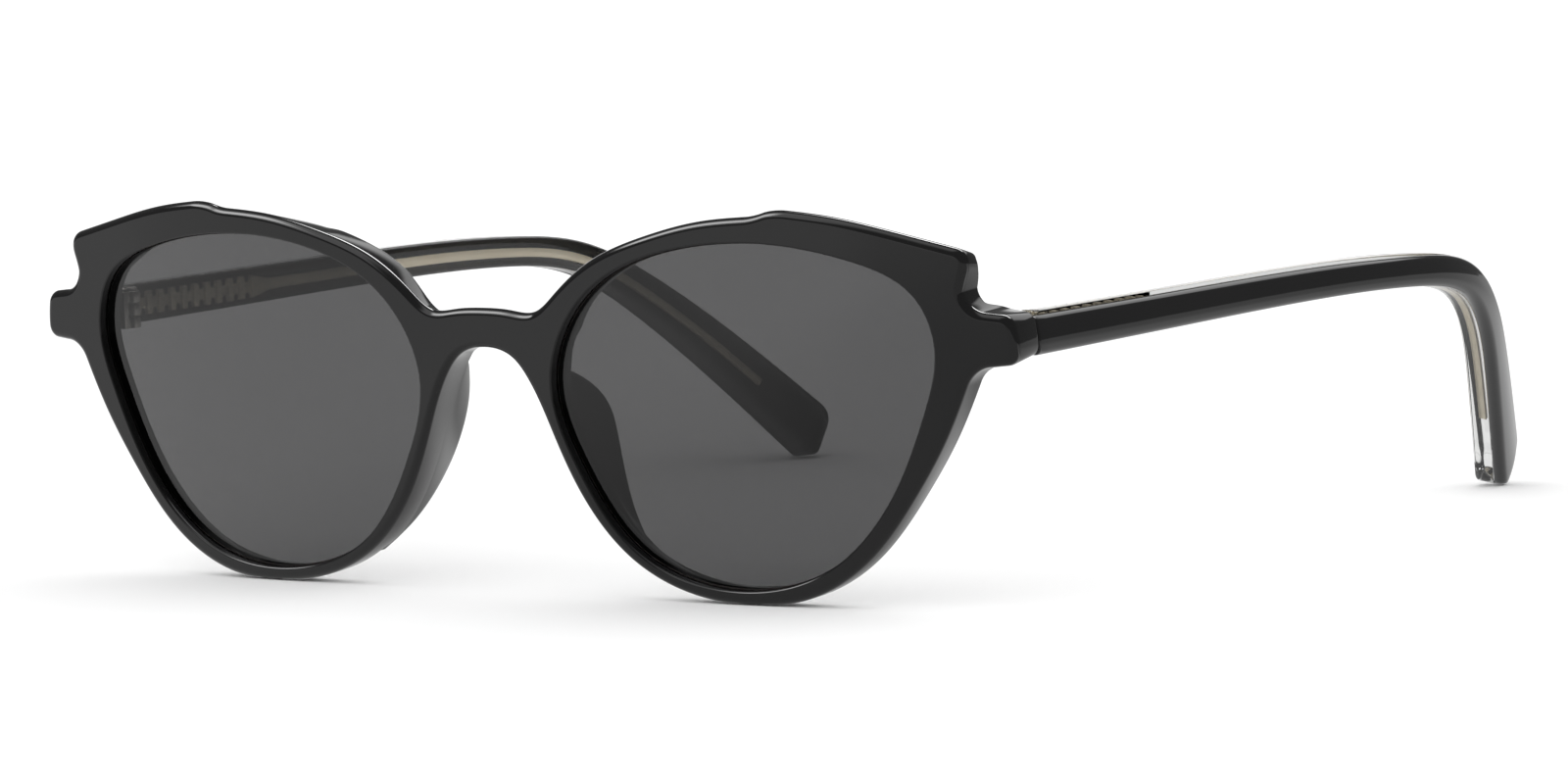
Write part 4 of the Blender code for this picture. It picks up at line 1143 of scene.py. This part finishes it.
def add_camera():
    back = Vector((math.sin(CAMERA_AZIMUTH) * math.cos(CAMERA_ELEVATION),
                   -math.cos(CAMERA_AZIMUTH) * math.cos(CAMERA_ELEVATION), math.sin(CAMERA_ELEVATION)))
    level = Vector((math.cos(CAMERA_AZIMUTH), math.sin(CAMERA_AZIMUTH), 0))
    upright = back.cross(level)
    right = level * math.cos(CAMERA_ROLL) + upright * math.sin(CAMERA_ROLL)
    up = back.cross(right)
    camera = bpy.data.objects.new("camera", bpy.data.cameras.new("camera"))
    camera.data.lens = CAMERA_LENS
    camera.data.sensor_width = 36.0
    camera.data.clip_start = 0.01
    camera.data.clip_end = 20.0
    rotation = Matrix((right, up, back)).transposed().to_4x4()
    camera.matrix_world = Matrix.Translation(CAMERA_PLACE) @ rotation
    bpy.context.scene.collection.objects.link(camera)
    bpy.context.scene.camera = camera


def add_world():
    """Even white light for the table and the picture, panels and dark walls in the gloss.

    A panel is placed by where a direction meets a plane one metre up: y/z and, slanted, x/z.
    """
    world = bpy.data.worlds.new("studio")
    bpy.context.scene.world = world
    world.use_nodes = True
    world.cycles.sampling_method = "NONE"
    n = Nodes(world.node_tree, "OutputWorld")
    parts = n.node("SeparateXYZ", Vector=n.node("TexCoord").outputs["Generated"])
    x, y, z = parts.outputs
    height = n.math("MAXIMUM", z, 0.02)
    ahead = n.math("DIVIDE", y, height)
    across = n.math("SUBTRACT", n.math("DIVIDE", x, height), n.math("MULTIPLY", ahead, PANEL_SLANT))

    def between(value, low, high, soft):
        rise = n.ranged(value, 0.0, 1.0, low - soft, low + soft, True)
        fall = n.ranged(value, 1.0, 0.0, high - soft, high + soft, True)
        return n.math("MULTIPLY", rise, fall)

    def panel(strength, low_x, high_x, low_y, high_y, soft):
        width = between(across, low_x, high_x, soft)
        return n.math("MULTIPLY", n.math("MULTIPLY", width, between(ahead, low_y, high_y, soft)), strength)

    behind = n.math("ADD", n.math("MULTIPLY", x, -math.sin(CAMERA_AZIMUTH)),
                    n.math("MULTIPLY", y, math.cos(CAMERA_AZIMUTH)))
    lit_wall = n.ranged(behind, 0.0, 1.4, 0.86, 0.95, True)
    backdrop = n.math("MULTIPLY", lit_wall, between(z, -1.0, 0.26, 0.05))
    gloss = ROOM_GLOW
    for light in [panel(*values) for values in PANELS] + [backdrop]:
        gloss = n.math("ADD", gloss, light)
    clear = n.ranged(behind, 0.45, 1.05, 0.1, 0.6, True)
    shades = (("Glossy", gloss), ("Transmission", clear), ("Camera", PICTURE_WHITE))
    shader = n.node("Background", Strength=TABLE_LIGHT).outputs["Background"]
    for kind, strength in shades:
        seen = n.ray_is(kind)
        shade = n.node("Background", Strength=strength).outputs["Background"]
        shader = n.blend(seen, shader, shade)
    n.finish(shader)


def add_studio():
    corners = [(x * TABLE_HALF, y * TABLE_HALF, 0) for x, y in ((-1, -1), (1, -1), (1, 1), (-1, 1))]
    floor = mesh_piece("table", corners, [(0, 1, 2, 3)], [paint_floor()])
    floor.location.z = -TABLE_BELOW
    add_world()
    add_camera()
    scene = bpy.context.scene
    scene.view_settings.view_transform = "Standard"
    scene.view_settings.look = "None"
    scene.cycles.max_bounces = 16
    scene.cycles.transmission_bounces = 12
    scene.cycles.transparent_max_bounces = 24


# ======== assembly
def main():
    black = paint_black()
    crystal = paint_crystal()
    bond = paint_bond()
    tint = paint_lens()
    ground = paint_ground_edge()
    champagne = paint_wire()
    nickel = paint_metal()
    build_front(black)
    for word, side in (("left", 1), ("right", -1)):
        build_lens(word, side, tint, ground)
        build_pad(word, side, black)
        build_front_hinge(word, side, nickel)
        build_temple_hinge(word, side, nickel)
        build_screw(word, side, nickel)
        build_black_layer(word, side, black)
        build_clear_layer(word, side, crystal, bond)
        build_wire(word, side, champagne)
    add_studio()


main()
